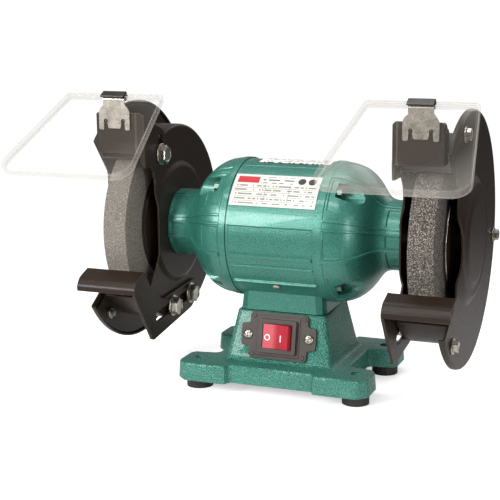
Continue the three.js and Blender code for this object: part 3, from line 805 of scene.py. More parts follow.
def on_switch_face(bm):
    """Moves faces drawn round the switch, with -y straight out of the leaning face, into place."""
    for vert in bm.verts:
        vert.co = SWITCH_TURN @ vert.co + SWITCH_AT
    return bm


def switch_box(x, z, y0, y1, corner=0.0):
    corners = [(-x, -z), (x, -z), (x, z), (-x, z)]
    outline = rounded(corners, corner, 4) if corner else corners
    return plate_faces(outline, y0, y1, "y")


base = drawn("base", slab_faces(), CAST_TEAL)
trim(base, "UNION", drawn("tool", pedestal_faces(), CAST_TEAL))
pan = block_rings([(8.0, 50, 48), (20.0, 50, 48)], 4)
hollow = block_rings([(19.0, 41.5, 34.5), (60.0, 34.0, 25.9)], 3)
lugs = [(x, y) for x in (-LUG[0], LUG[0]) for y in (-LUG[1], LUG[1])]
holes = [plate_faces(oval(x, y, BOLT_HOLE, BOLT_HOLE, 32), 5, 30, "z") for x, y in lugs]
cuts = [stacked_faces(pan), stacked_faces(hollow), on_switch_face(switch_box(15.6, 12.6, -8, 12))]
trim(base, "DIFFERENCE", *[drawn("tool", bm, CAST_TEAL) for bm in cuts + holes])
crisp(base, 38)
settle(base, "frame", "teal_paint", "base_casting")

# %% [markdown]
# ## Fasteners
# Hexagon bolts and screws repeat all over a machine. Each kind is drawn once, standing on the origin,
# and a Geometry Nodes tree stands a copy on every point of a small mesh, turned to face along the
# direction that the point carries. Real geometry comes out, because the result is realised.

# %% A tree that sets out fasteners
def fastener_tree():
    tree = bpy.data.node_groups.new("set_out_fasteners", "GeometryNodeTree")
    face = tree.interface
    face.new_socket("Points", in_out="INPUT", socket_type="NodeSocketGeometry")
    face.new_socket("Part", in_out="INPUT", socket_type="NodeSocketObject")
    face.new_socket("Size", in_out="INPUT", socket_type="NodeSocketFloat")
    face.new_socket("Finish", in_out="INPUT", socket_type="NodeSocketMaterial")
    face.new_socket("Mesh", in_out="OUTPUT", socket_type="NodeSocketGeometry")
    given = tree.nodes.new("NodeGroupInput")
    out = tree.nodes.new("NodeGroupOutput")
    part = tree.nodes.new("GeometryNodeObjectInfo")
    part.inputs["As Instance"].default_value = True
    aim = tree.nodes.new("GeometryNodeInputNamedAttribute")
    aim.data_type = "FLOAT_VECTOR"
    aim.inputs["Name"].default_value = "aim"
    turn = tree.nodes.new("FunctionNodeAlignRotationToVector")
    turn.axis = "Z"
    stand_on = tree.nodes.new("GeometryNodeInstanceOnPoints")
    real = tree.nodes.new("GeometryNodeRealizeInstances")
    paint = tree.nodes.new("GeometryNodeSetMaterial")
    wire(tree, given.outputs["Points"], stand_on.inputs["Points"])
    wire(tree, given.outputs["Part"], part.inputs["Object"])
    wire(tree, part.outputs["Geometry"], stand_on.inputs["Instance"])
    wire(tree, aim.outputs["Attribute"], turn.inputs["Vector"])
    wire(tree, turn.outputs["Rotation"], stand_on.inputs["Rotation"])
    wire(tree, given.outputs["Size"], stand_on.inputs["Scale"])
    wire(tree, stand_on.outputs["Instances"], real.inputs["Geometry"])
    wire(tree, real.outputs["Geometry"], paint.inputs["Geometry"])
    wire(tree, given.outputs["Finish"], paint.inputs["Material"])
    wire(tree, paint.outputs["Geometry"], out.inputs["Mesh"])
    return tree


FASTENERS = fastener_tree()


def set_inputs(modifier, **values):
    """Sets a Geometry Nodes modifier's inputs by the names shown on its tree."""
    for item in modifier.node_group.interface.items_tree:
        label = item.name.replace(" ", "_")
        if item.item_type == "SOCKET" and item.in_out == "INPUT" and label in values:
            modifier[item.identifier] = values[label]


def set_out(name, part, places, material, body, slot, replaced=(), size=1.0):
    """Copies of a part at (point, direction) places, as one plain mesh on one body."""
    mesh = bpy.data.meshes.new(name)
    points = [Vector((x, y + SHAFT.y, z)) * MM for (x, y, z), _ in places]
    mesh.from_pydata(points, [], [])
    aim = mesh.attributes.new("aim", "FLOAT_VECTOR", "POINT")
    aim.data.foreach_set("vector", [value for _, direction in places for value in direction])
    made = bpy.data.objects.new(name, mesh)
    bpy.context.scene.collection.objects.link(made)
    modifier = made.modifiers.new("fasteners", "NODES")
    modifier.node_group = FASTENERS
    set_inputs(modifier, Part=part, Size=size, Finish=material)
    apply_modifiers(made)
    crisp(made, 35)
    return settle(made, body, slot, *replaced)


# %% The kinds of fastener
def standing_part(name, rings):
    """A part drawn upright on the origin. rings holds (z, radius, sides or None for the ones before)."""
    bm = bmesh.new()
    made = []
    for z, radius, sides in rings:
        turn = [2 * math.pi * i / 24 for i in range(24)]
        flat = []
        for t in turn:
            reach = radius
            if sides:
                sector = 2 * math.pi / sides
                off = (t % sector) - sector / 2
                reach = radius * math.cos(sector / 2) / math.cos(off)
            flat.append(bm.verts.new((reach * math.cos(t) * MM, reach * math.sin(t) * MM, z * MM)))
        made.append(flat)
    for a, b in zip(made, made[1:]):
        for i in range(24):
            bm.faces.new([a[i - 1], a[i], b[i], b[i - 1]])
    bm.faces.new(list(reversed(made[0])))
    bm.faces.new(made[-1])
    bmesh.ops.recalc_face_normals(bm, faces=bm.faces)
    mesh = bpy.data.meshes.new(name)
    bm.to_mesh(mesh)
    bm.free()
    part = bpy.data.objects.new(name, mesh)
    bpy.context.scene.collection.objects.link(part)
    return part


hex_bolt = standing_part("hex_bolt", [
    (-7, 3.8, None), (0, 3.8, None), (0, 8.6, None), (0.25, 8.8, None), (1.0, 8.8, None), (1.3, 8.5, None),
    (1.3, 7.0, 6), (1.6, 7.45, 6), (5.3, 7.45, 6), (6.2, 6.5, 6), (6.2, 5.5, None), (5.7, 4.9, None),
])
cover_screw = standing_part("cover_screw", [
    (-9, 2.4, None), (0, 2.4, None), (0, 6.0, None), (0.2, 6.2, None), (1.0, 6.2, None), (1.2, 6.0, None),
    (1.2, 4.5, 6), (1.4, 4.8, 6), (4.3, 4.8, 6), (4.8, 4.2, 6), (4.8, 3.6, None), (4.4, 3.2, None),
])
back_nut = standing_part("back_nut", [
    (0, 4.4, 6), (0.2, 4.6, 6), (2.3, 4.6, 6), (2.6, 4.2, 6), (2.6, 2.4, None), (3.6, 2.3, None),
    (3.8, 2.0, None),
])
bolt_nut = standing_part("bolt_nut", [
    (0, 7.1, 6), (0.3, 7.45, 6), (4.2, 7.45, 6), (4.6, 7.0, 6), (4.6, 3.8, None), (5.4, 3.7, None),
    (5.6, 3.3, None),
])

REST_BOLTS = [(-21.5, 59.6), (13.5, 62.44)]
BRACKET_BOLT = (-37, 189.7)
COVER_SCREWS = [polar(90, a) for a in (71, -51, 188)]
for side, mirror in SIDES.items():
    way = -1 if mirror else 1
    heads = [((way * 100.1, y, z), (-way, 0, 0)) for y, z in REST_BOLTS + [BRACKET_BOLT]]
    nuts = [((way * 105.0, y, z), (way, 0, 0)) for y, z in REST_BOLTS + [BRACKET_BOLT]]
    screws = [((way * 146.2, y, z), (way, 0, 0)) for y, z in COVER_SCREWS]
    backs = [((way * 142.1, y, z), (-way, 0, 0)) for y, z in COVER_SCREWS]
    bolts = [f"rest_bolt_{side}_1", f"rest_bolt_{side}_2", f"bracket_bolt_{side}"]
    set_out(f"bolt_heads_{side}", hex_bolt, heads, ZINC, "frame", "steel", bolts)
    set_out(f"bolt_nuts_{side}", bolt_nut, nuts, ZINC, "frame", "steel")
    covers = [f"cover_screw_{side}_{i}" for i in (1, 2, 3)]
    set_out(f"screw_heads_{side}", cover_screw, screws, ZINC, "frame", "steel", covers)
    set_out(f"screw_nuts_{side}", back_nut, backs, ZINC, "frame", "steel")

# %% [markdown]
# ## Wheels
# A wheel is a plain ring of grain. A Geometry Nodes tree sweeps a rounded rectangle round a circle, so
# its diameter, bore, thickness and corner are all named inputs that can be changed later.

# %% A tree that sweeps a ring
def ring_tree():
    tree = bpy.data.node_groups.new("swept_ring", "GeometryNodeTree")
    face = tree.interface
    for label in ("Radius", "Bore", "Thickness", "Corner"):
        face.new_socket(label, in_out="INPUT", socket_type="NodeSocketFloat")
    face.new_socket("Finish", in_out="INPUT", socket_type="NodeSocketMaterial")
    face.new_socket("Mesh", in_out="OUTPUT", socket_type="NodeSocketGeometry")
    given = tree.nodes.new("NodeGroupInput")
    out = tree.nodes.new("NodeGroupOutput")
    path = tree.nodes.new("GeometryNodeCurvePrimitiveCircle")
    path.inputs["Resolution"].default_value = 192
    section = tree.nodes.new("GeometryNodeCurvePrimitiveQuadrilateral")
    fillet = tree.nodes.new("GeometryNodeFilletCurve")
    fillet.mode = "POLY"
    fillet.inputs["Count"].default_value = 3
    sweep = tree.nodes.new("GeometryNodeCurveToMesh")
    paint = tree.nodes.new("GeometryNodeSetMaterial")
    total = math_node(tree, "ADD", given.outputs["Radius"], given.outputs["Bore"])
    depth = math_node(tree, "SUBTRACT", given.outputs["Radius"], given.outputs["Bore"])
    wire(tree, math_node(tree, "MULTIPLY", total, 0.5), path.inputs["Radius"])
    wire(tree, depth, section.inputs["Width"])
    wire(tree, given.outputs["Thickness"], section.inputs["Height"])
    wire(tree, section.outputs["Curve"], fillet.inputs["Curve"])
    wire(tree, given.outputs["Corner"], fillet.inputs["Radius"])
    wire(tree, path.outputs["Curve"], sweep.inputs["Curve"])
    wire(tree, fillet.outputs["Curve"], sweep.inputs["Profile Curve"])
    wire(tree, sweep.outputs["Mesh"], paint.inputs["Geometry"])
    wire(tree, given.outputs["Finish"], paint.inputs["Material"])
    wire(tree, paint.outputs["Geometry"], out.inputs["Mesh"])
    return tree


SWEPT_RING = ring_tree()


def ring_object(name, x, radius, bore, thickness, corner, material):
    made = bpy.data.objects.new(name, bpy.data.meshes.new(name))
    bpy.context.scene.collection.objects.link(made)
    modifier = made.modifiers.new("ring", "NODES")
    modifier.node_group = SWEPT_RING
    sizes = {"Radius": radius * MM, "Bore": bore * MM, "Thickness": thickness * MM, "Corner": corner * MM}
    set_inputs(modifier, **sizes, Finish=material)
    apply_modifiers(made)
    place = Matrix.Translation(Vector((x, SHAFT.y, SHAFT_Z)) * MM) @ Matrix.Rotation(math.pi / 2, 4, "Y")
    made.data.transform(place)
    bm = bmesh.new()
    bm.from_mesh(made.data)
    bmesh.ops.recalc_face_normals(bm, faces=bm.faces)
    bm.to_mesh(made.data)
    bm.free()
    return crisp(made, 40)


WHEEL_X = 125
GRITS = {"right": COARSE_GRIT, "left": FINE_GRIT}
for side, mirror in SIDES.items():
    way = -1 if mirror else 1
    wheel = ring_object(f"grinding_wheel_{side}", way * WHEEL_X, 75, 16, 20, 0.7, GRITS[side])
    settle(wheel, "rotor", "grit", f"wheel_{side}")
    for k, at in (("inner", 114.8), ("outer", 135.2)):
        card = ring_object(f"blotter_{k}_{side}", way * at, 46.5, 36.5, 0.35, 0.1, BLOTTER)
        settle(card, "rotor", "black_paint")
    lip = ring_object(f"flange_lip_{side}", way * 136.5, 44.4, 42.6, 1.2, 0.25, TURNED_STEEL)
    settle(lip, "rotor", "steel")

# %% The clamping flanges and the nut
for side, mirror in SIDES.items():
    for k, way, slot in (("inner", -1, "steel"), ("outer", 1, "black_paint")):
        line = [(0.4, 6.3), (0.4, 15.7), (11.3, 15.7), (11.3, 35), (10.6, 36.5), (10.6, 43.6), (11.0, 44),
                (12.0, 43.6), (12.6, 42.0), (14, 22), (15.7, 14), (15.7, 6.3)]
        faces = turned_faces([(WHEEL_X + way * x, r) for x, r in line])
        flange = drawn(f"flange_{k}_{side}", faces, SHEET_BLACK, mirror)
        crisp(flange)
        settle(flange, "rotor", slot, f"{k}_flange_{side}")
shaft_nut = standing_part("shaft_nut", [
    (0, 10.4, 6), (0.4, 11, 6), (7.2, 11, 6), (7.6, 10.4, 6), (7.6, 6.8, None), (7.0, 6.1, None),
    (7.0, 5.2, None),
])
for side, mirror in SIDES.items():
    way = -1 if mirror else 1
    at = [((way * 141, 0, SHAFT_Z), (way, 0, 0))]
    set_out(f"spindle_nut_{side}", shaft_nut, at, ZINC, "rotor", "steel", [f"shaft_nut_{side}"])

# %% [markdown]
# ## Guards
# Each guard is a pressed steel drum with a screwed-on cover. Both are turned as thin walls with their
# pressed steps, and the same opening is cut through them at the front. The cut edge of the sheet is
# then softened by a third of a millimetre, which is what makes it glint.

# %% Shell and cover
OPENING_TOP = [(-45, 175), (-112.6, 260), (-170, 260)]
SHELL_OPENING = [(-43, 168), *OPENING_TOP, (-170, 30), (-90, 57), (-64.5, 71), (-57, 81), (-43, 98)]
COVER_OPENING = [(-44, 168), *OPENING_TOP, (-170, 16), (-57, 83), (-44, 92)]
SHELL_LINE = [
    (100.5, 14), (100.5, 45.5), (100.9, 47.5), (102.2, 50), (103, 52), (103, 79.2), (103.4, 80.8),
    (104.3, 81.7), (105.6, 82), (142.4, 82), (142.4, 97.6), (142.8, 98), (143.6, 98), (144, 97.6),
    (144, 80.8), (143.6, 80.4), (106.0, 80.4), (105.0, 80), (104.6, 79.2), (104.6, 52.6), (103.8, 50.4),
    (102.5, 48), (102.1, 46.2), (102.1, 14),
]
COVER_LINE = [
    (151.6, 0), (151.6, 30), (151.2, 33), (149.9, 36.5), (149.8, 39.5), (150.4, 42.5), (149.9, 45),
    (147.4, 48.6), (146.1, 50.6), (145.9, 52.5), (145.9, 98), (145.5, 99.8), (144.6, 100.7), (143.2, 101),
    (141, 101), (141, 99.4), (143, 99.4), (143.9, 99), (144.3, 98), (144.3, 51.2), (144.9, 49.4),
    (147, 46.8), (148.3, 44.2), (148.6, 42.5),
    (148.2, 39.5), (148.3, 36), (149.6, 32.6), (150, 29.6), (150, 0),
]
SHELL_RADII = [5, 2, 0, 0, 0, 6, 3, 3, 8]
COVER_RADII = [5, 3, 0, 0, 0, 7, 5]


def guard_piece(name, replaced, line, opening, radii, low, high, drilled, mirror):
    made = drawn(name, turned_faces(line), SHEET_BLACK, mirror)
    gap = drawn("tool", plate_faces(rounded(opening, radii, 5), low, high), SHEET_BLACK, mirror)
    trim(made, "DIFFERENCE", gap)
    for (y, z), radius, x0, x1 in drilled:
        trim(made, "DIFFERENCE", rod_tool(x0, x1, radius, y, z, 24, mirror))
    soften(made, 0.3, 2, 40, [0] + [y for (y, _), _, _, _ in drilled])
    return settle(made, "frame", "black_paint", replaced)


for side, mirror in SIDES.items():
    rest_holes = [(at, BOLT_HOLE, 95, 110) for at in REST_BOLTS + [BRACKET_BOLT]]
    screw_holes = [(at, 2.8, 135, 149) for at in COVER_SCREWS]
    drum = (f"guard_drum_{side}", f"guard_shell_{side}", SHELL_LINE, SHELL_OPENING, SHELL_RADII, 90, 160)
    guard_piece(*drum, rest_holes + screw_holes, mirror)
    lid = (f"guard_lid_{side}", f"guard_cover_{side}", COVER_LINE, COVER_OPENING, COVER_RADII, 120, 170)
    guard_piece(*lid, screw_holes, mirror)

# %% [markdown]
# ## Tool rests and spark brackets
# A tool rest is one piece of thick strip: a slotted side plate, and a table folded over at the front.
# Its bends are rounded in the outline before it is drawn out, so that light rolls over them.

# %% Tool rests
REST_SIDE = [
    (-72, 99.5), (-86.5, 94.5), (-91.2, 88.4), (-90.7, 84), (-61.2, 40.4), (-58, 39.2), (16, 49.2), (29, 57),
    (31, 66), (26, 72.6), (18, 72.8), (-40, 69.2), (-60, 81), (-66.5, 91),
]
REST_SIDE_R = [1, 9, 6, 0, 1.5, 1.5, 12, 8, 6, 5, 8, 10, 14, 8]
REST_TABLE = [
    (-72, 99.5), (-86.5, 94.5), (-91.2, 88.4), (-90.7, 84), (-88.2, 84), (-88.8, 87.7), (-85.1, 92.3),
    (-72.6, 96.9),
]
REST_TABLE_R = [0.6, 9, 6, 0.5, 0.5, 3.5, 6.5, 0.6]


def slot_outline(a, b, radius, steps=8):
    turn = math.atan2(b[1] - a[1], b[0] - a[0])
    out = []
    for (cy, cz), start in ((b, turn - math.pi / 2), (a, turn + math.pi / 2)):
        for k in range(steps + 1):
            angle = start + math.pi * k / steps
            out.append((cy + radius * math.cos(angle), cz + radius * math.sin(angle)))
    return out


for side, mirror in SIDES.items():
    side_plate = plate_faces(rounded(REST_SIDE, REST_SIDE_R), 100.2, 102.7)
    rest = drawn(f"rest_{side}", side_plate, SHEET_BLACK, mirror)
    table = drawn("tool", plate_faces(rounded(REST_TABLE, REST_TABLE_R), 100.6, 152), SHEET_BLACK, mirror)
    trim(rest, "UNION", table)
    slot_cut = plate_faces(slot_outline((-50, 57.29), (24, 63.29), BOLT_HOLE), 99, 104)
    trim(rest, "DIFFERENCE", drawn("tool", slot_cut, SHEET_BLACK, mirror))
    soften(rest, 0.4, 2, splits=[-13])
    settle(rest, f"rest_{side}", "black_paint", f"tool_rest_{side}")


# %% Spark brackets
def bent_strip(path, radius, sheet, steps=5):
    """The (x, y) outline of a strip that follows a path, sheet thick, with rounded bends."""
    line = [Vector(p) for p in path]
    sides = []
    for sign in (0, 1):
        out = []
        for i, here in enumerate(line):
            before = (here - line[i - 1]).normalized() if i else (line[1] - here).normalized()
            after = (line[i + 1] - here).normalized() if i + 1 < len(line) else before
            normal = Vector((-before.y, before.x)) + Vector((-after.y, after.x))
            normal /= max(0.2, normal.length_squared / 2)
            out.append(tuple(here + normal * sheet * sign))
        sides.append(out)
    outline = sides[0] + sides[1][::-1]
    radii = []
    for i in range(len(line)):
        radii.append(0 if i in (0, len(line) - 1) else radius)
    inner = [max(0.0, r - sheet) if r else 0 for r in radii][::-1]
    return rounded(outline, radii + inner, steps)


BRACKET_PATH = [(100.4, -26), (100.4, -66.4), (105, -71), (140.5, -71), (140.5, -58)]
BRACKET_ARM = [
    (-73, 191), (-71, 191), (-65, 181.7), (-32, 181.7), (-29, 184.7), (-29, 206.7), (-32, 209.7), (-65, 222),
    (-66, 232), (-73, 232),
]
BRACKET_FRONT = [
    (99, 178), (103, 178), (103, 194), (141, 194), (141, 219), (140.5, 226), (133, 226), (133, 232),
    (113, 232),
    (113, 226), (104, 226), (99, 222),
]
BRACKET_ARM_R = [0, 0, 3, 3, 3, 3, 3, 6, 0, 0]
BRACKET_FRONT_R = [0, 0, 0.5, 2.5, 0.5, 3.5, 1, 1.5, 1.5, 1, 2.5, 0]
for side, mirror in SIDES.items():
    strip = plate_faces(bent_strip(BRACKET_PATH, 2.6, 2.0), 178, 232, "z")
    bracket = drawn(f"bracket_{side}", strip, SHEET_BLACK, mirror)
    arm = plate_faces(rounded(BRACKET_ARM, BRACKET_ARM_R), 99, 143)
    front = plate_faces(rounded(BRACKET_FRONT, BRACKET_FRONT_R), -80, -20, "y")
    trim(bracket, "INTERSECT", *[drawn("tool", bm, SHEET_BLACK, mirror) for bm in (arm, front)])
    slot_cut = plate_faces(slot_outline(BRACKET_BOLT, (-37, 201.7), BOLT_HOLE), 99, 104)
    trim(bracket, "DIFFERENCE", drawn("tool", slot_cut, SHEET_BLACK, mirror))
    soften(bracket, 0.35, 2, splits=[BRACKET_BOLT[0]])
    settle(bracket, f"bracket_{side}", "black_paint", f"spark_bracket_{side}")

# %% [markdown]
# ## Clips and shields
# A clip of spring steel sits on the front of each bracket. Two keyhole slots let its legs flex, and its
# top curls round the pin of the shield. The shield itself is a shallow moulded tray of clear plastic.

# %% Spring clips
CLIP_X = 123.0
HINGE_Y = -70.5
HINGE_Z = 236.0
CLIP = [
    (-13.5, 212.4), (-9.3, 212.4), (-9.0, 218), (-6.3, 218), (-5.4, 213.6), (5.4, 213.6), (6.3, 218),
    (9.0, 218),
    (9.3, 212.4), (13.5, 212.4), (13.5, 226.5), (11.5, 230), (9.5, 231.5), (9.5, 236.5), (-9.5, 236.5),
    (-9.5, 231.5), (-11.5, 230), (-13.5, 226.5),
]
CLIP_R = [1.2, 1.2, 1.4, 1.4, 1.5, 1.5, 1.4, 1.4, 1.2, 1.2, 1.5, 2, 1, 0, 0, 1, 2, 1.5]


def clip_curl():
    """The (y, z) outline of the curl round the pin."""
    outer, inner = 2.7, 1.75
    turn = [math.radians(180 - 200 * k / 14) for k in range(15)]
    line = [(HINGE_Y + outer * math.cos(t), HINGE_Z + outer * math.sin(t)) for t in turn]
    return line + [(HINGE_Y + inner * math.cos(t), HINGE_Z + inner * math.sin(t)) for t in reversed(turn)]


def clip_faces():
    """The clip's flat face with its tongue, just in front of the bracket's plate."""
    return plate_faces([(CLIP_X + x, z) for x, z in rounded(CLIP, CLIP_R, 3)], -72.4, -71.4, "y")


for side, mirror in SIDES.items():
    clip = drawn(f"clip_{side}", clip_faces(), SPRING, mirror)
    curl = drawn("tool", plate_faces(clip_curl(), CLIP_X - 9.5, CLIP_X + 9.5), SPRING, mirror)
    eyes = [plate_faces(oval(CLIP_X + x, 219.2, 1.7, 2.1, 24), -80, -70, "y") for x in (-7.6, 7.6)]
    trim(clip, "DIFFERENCE", *[drawn("tool", bm, SPRING, mirror) for bm in eyes])
    trim(clip, "UNION", curl)
    soften(clip, 0.22, 2)
    settle(clip, f"bracket_{side}", "steel", f"shield_clip_{side}")

rivet = standing_part("rivet", [(0, 1.5, None), (0.5, 1.45, None), (0.85, 1.1, None), (1.0, 0.5, None)])
for side, mirror in SIDES.items():
    way = -1 if mirror else 1
    pins = [((way * (CLIP_X + x), -71.0, 219.4), (0, -1, 0)) for x in (-7.6, 7.6)]
    set_out(f"clip_rivets_{side}", rivet, pins, CAP_BLACK, f"bracket_{side}", "black_paint")

# %% Clear shields
SHIELD_LEAN = math.radians(28.6)
SHIELD_TURN = Matrix.Rotation(SHIELD_LEAN, 3, "X")


def on_shield(bm):
    """Faces drawn flat with the pin on the origin are leaned forward about the pin."""
    for vert in bm.verts:
        vert.co = SHIELD_TURN @ vert.co + Vector((CLIP_X, HINGE_Y, HINGE_Z))
    return bm


def shield_outline(edge):
    """The shield's plan, drawn in from its outside by a distance."""
    plan = [(-42, 3), (-56, -100), (56, -100), (42, 3)]
    return inset(rounded(plan, [3, 13, 13, 3], 7), edge)


def tray_faces():
    """A shallow tray: a flat sheet with a rim turned down all the way round except at the top."""
    outer, inner = shield_outline(0), shield_outline(2.0)
    rings = [
        [(x, y, -1.8) for x, y in shield_outline(0.3)],
        [(x, y, 3.4) for x, y in outer],
        [(x, y, 4.0) for x, y in shield_outline(0.25)],
        [(x, y, 4.2) for x, y in shield_outline(0.8)],
    ]
    pocket = [
        [(x, y, 2.1) for x, y in shield_outline(2.6)],
        [(x, y, 1.5) for x, y in inner],
        [(x, y, -1.8) for x, y in inner],
    ]
    bm = bmesh.new()
    made = [[bm.verts.new(c) for c in ring] for ring in rings + pocket]
    count = len(made[0])
    for a, b in zip(made[:4], made[1:4]):
        for i in range(count):
            bm.faces.new([a[i - 1], a[i], b[i], b[i - 1]])
    for a, b in ((made[4], made[5]), (made[5], made[6]), (made[6], made[0])):
        for i in range(count):
            bm.faces.new([a[i - 1], a[i], b[i], b[i - 1]])
    bm.faces.new(made[3])
    bm.faces.new(list(reversed(made[4])))
    return bm


for side, mirror in SIDES.items():
    shield = drawn(f"shield_{side}", on_shield(tray_faces()), CLEAR[side], mirror)
    shield.data.materials.append(CLEAR_RIM)
    crisp(shield, 40)
    for face in shield.data.polygons:
        face.material_index = 0 if face.area > 2e-3 else 1
    settle(shield, f"shield_{side}", "clear_shield", f"eye_shield_{side}")

# %% The grip over each shield's top edge, and the two ridges beside it
GRIP = [(-3.4, 4.3), (3.1, 4.3), (3.1, 0.4), (4.4, 0.4), (4.4, 5.7), (-3.4, 5.7)]
for side, mirror in SIDES.items():
    section = rounded(GRIP, [0.2, 0.1, 0.2, 0.4, 1.1, 0.6])
    grip = drawn(f"shield_grip_{side}", on_shield(plate_faces(section, -10, 10)), CAP_BLACK, mirror)
    soften(grip, 0.25, 2)
    settle(grip, f"shield_{side}", "black_paint")
    bars = [plate_faces(rounded([(at, 4.1), (at + 1.0, 4.1), (at + 1.0, 4.8), (at, 4.8)], 0.3, 3), low, high)
            for at in (-2.2, 0.4) for low, high in ((-40, -11), (11, 40))]
    ridges = drawn(f"shield_ridges_{side}", on_shield(bars[0]), CLEAR_RIM, mirror)
    trim(ridges, "UNION", *[drawn("tool", on_shield(bm), CLEAR_RIM, mirror) for bm in bars[1:]])
    crisp(ridges, 40)
    settle(ridges, f"shield_{side}", "clear_shield")

# %% [markdown]
# ## Switch
# The rocker sits in a moulded plate that two cross-headed screws hold to the leaning face.

# %% Switch plate, screws and rocker
PLATE = [
    (-24.7, 18.7), (-24.7, 10.5), (-27, 9), (-32, 9), (-32, -9), (-27, -9), (-24.7, -10.5), (-24.7, -18.7),
    (24.7, -18.7), (24.7, -10.5), (27, -9), (32, -9), (32, 9), (27, 9), (24.7, 10.5), (24.7, 18.7),
]
PLATE_R = [3, 0.8, 1.5, 3.5, 3.5, 1.5, 0.8, 3, 3, 0.8, 1.5, 3.5, 3.5, 1.5, 0.8, 3]
plate_shape = plate_faces(rounded(PLATE, PLATE_R, 4), -2.5, -0.3, "y")
plate = drawn("switch_bezel", on_switch_face(plate_shape), SWITCH_DARK)
collar = drawn("tool", on_switch_face(switch_box(16, 13.7, -6, -1.5, 1.6)), SWITCH_DARK)
rim = drawn("tool", on_switch_face(switch_box(18.4, 16.2, -3.2, -1.5, 1.6)), SWITCH_DARK)
trim(plate, "UNION", rim, collar)
trim(plate, "DIFFERENCE", drawn("tool", on_switch_face(switch_box(12.5, 10, -9, 3, 0.8)), SWITCH_DARK))
soften(plate, 0.35, 2)
settle(plate, "frame", "switch_plastic", "switch_plate")

# %% Cross-headed screws and the plate's corner bosses
pan_screw = standing_part("pan_screw", [
    (-2, 2.0, None), (0, 2.0, None), (0, 3.9, None), (0.5, 4.0, None), (1.3, 3.5, None), (1.9, 2.4, None),
    (2.1, 1.0, None),
])


def cross_cut(half_x, half_y):
    corners = [(-half_x, -half_y), (half_x, -half_y), (half_x, half_y), (-half_x, half_y)]
    bm = plate_faces(corners, 0.9, 3.0, "z")
    for vert in bm.verts:
        vert.co = vert.co * MM
    mesh = bpy.data.meshes.new("cross")
    bmesh.ops.recalc_face_normals(bm, faces=bm.faces)
    bm.to_mesh(mesh)
    bm.free()
    made = bpy.data.objects.new("cross", mesh)
    bpy.context.scene.collection.objects.link(made)
    return made


trim(pan_screw, "DIFFERENCE", cross_cut(2.3, 0.42), cross_cut(0.42, 2.3))
boss = standing_part("boss", [(-0.5, 1.9, None), (0.3, 1.9, None), (0.6, 1.6, None)])
OUT = tuple(SWITCH_TURN @ Vector((0, -1, 0)))
face_at = lambda x, z: (tuple(SWITCH_TURN @ Vector((x, -2.5, z)) + SWITCH_AT), OUT)
screw_names = ["switch_screw_left", "switch_screw_right"]
set_out("plate_screws", pan_screw, [face_at(x, 0) for x in (-26, 26)], ZINC, "frame", "steel", screw_names)
corners = [face_at(x, z) for x in (-21.4, 21.4) for z in (-15.4, 15.4)]
set_out("plate_bosses", boss, corners, SWITCH_DARK, "frame", "switch_plastic")
barrel_y, barrel_z = polar(56.1, -46)
outward = (0, *Vector(polar(1, -46)) - Vector((0, SHAFT_Z)))
set_out("barrel_screw", pan_screw, [((0, barrel_y, barrel_z), outward)], ZINC, "frame", "steel", (), 0.8)

# %% [markdown]
# ## Plates and marks
# The rating plate and the label on top are printed. Their pattern is drawn with arithmetic on the
# place on the part: along the shaft, and round the barrel measured as an arc in millimetres.

# %% Arithmetic for printed patterns
def barrel_place(tree):
    """Millimetres along the shaft, and millimetres of arc up the front of the barrel."""
    place = tree.nodes.new("ShaderNodeTexCoord")
    split = tree.nodes.new("ShaderNodeSeparateXYZ")
    wire(tree, place.outputs["Object"], split.inputs[0])
    along = math_node(tree, "MULTIPLY", split.outputs["X"], 1000.0)
    ahead = math_node(tree, "SUBTRACT", SHAFT.y * MM, split.outputs["Y"])
    above = math_node(tree, "SUBTRACT", split.outputs["Z"], SHAFT_Z * MM)
    angle = math_node(tree, "ARCTAN2", above, ahead)
    return along, math_node(tree, "MULTIPLY", angle, 56.5)


def within(tree, value, centre, half):
    return math_node(tree, "COMPARE", value, centre, half)


def both(tree, a, b):
    return math_node(tree, "MULTIPLY", a, b)


def block_mask(tree, u, v, u0, u1, v0, v1):
    across = within(tree, u, (u0 + u1) / 2, (u1 - u0) / 2)
    return both(tree, across, within(tree, v, (v0 + v1) / 2, (v1 - v0) / 2))


def disc_mask(tree, u, v, u0, v0, outer, inner=0.0):
    du = math_node(tree, "SUBTRACT", u, u0)
    dv = math_node(tree, "SUBTRACT", v, v0)
    square = math_node(tree, "ADD", both(tree, du, du), both(tree, dv, dv))
    return within(tree, math_node(tree, "SQRT", square), (outer + inner) / 2, (outer - inner) / 2)


def row_lines(tree, value, pitch, half):
    """Thin lines at every multiple of the pitch."""
    return math_node(tree, "LESS_THAN", math_node(tree, "PINGPONG", value, pitch / 2), half)


def dashes(tree, u, v, pitch, length):
    """Rows of plain dashes in place of words: some cells of a row are filled and some are gaps."""
    row = math_node(tree, "FLOOR", math_node(tree, "DIVIDE", v, pitch))
    cell = math_node(tree, "FLOOR", math_node(tree, "DIVIDE", u, length))
    joined = tree.nodes.new("ShaderNodeCombineXYZ")
    wire(tree, cell, joined.inputs[0])
    wire(tree, row, joined.inputs[1])
    chance = tree.nodes.new("ShaderNodeTexWhiteNoise")
    wire(tree, joined.outputs[0], chance.inputs["Vector"])
    filled = math_node(tree, "GREATER_THAN", chance.outputs["Value"], 0.42)
    level = math_node(tree, "FRACT", math_node(tree, "DIVIDE", v, pitch))
    return both(tree, filled, within(tree, level, 0.5, 0.17))


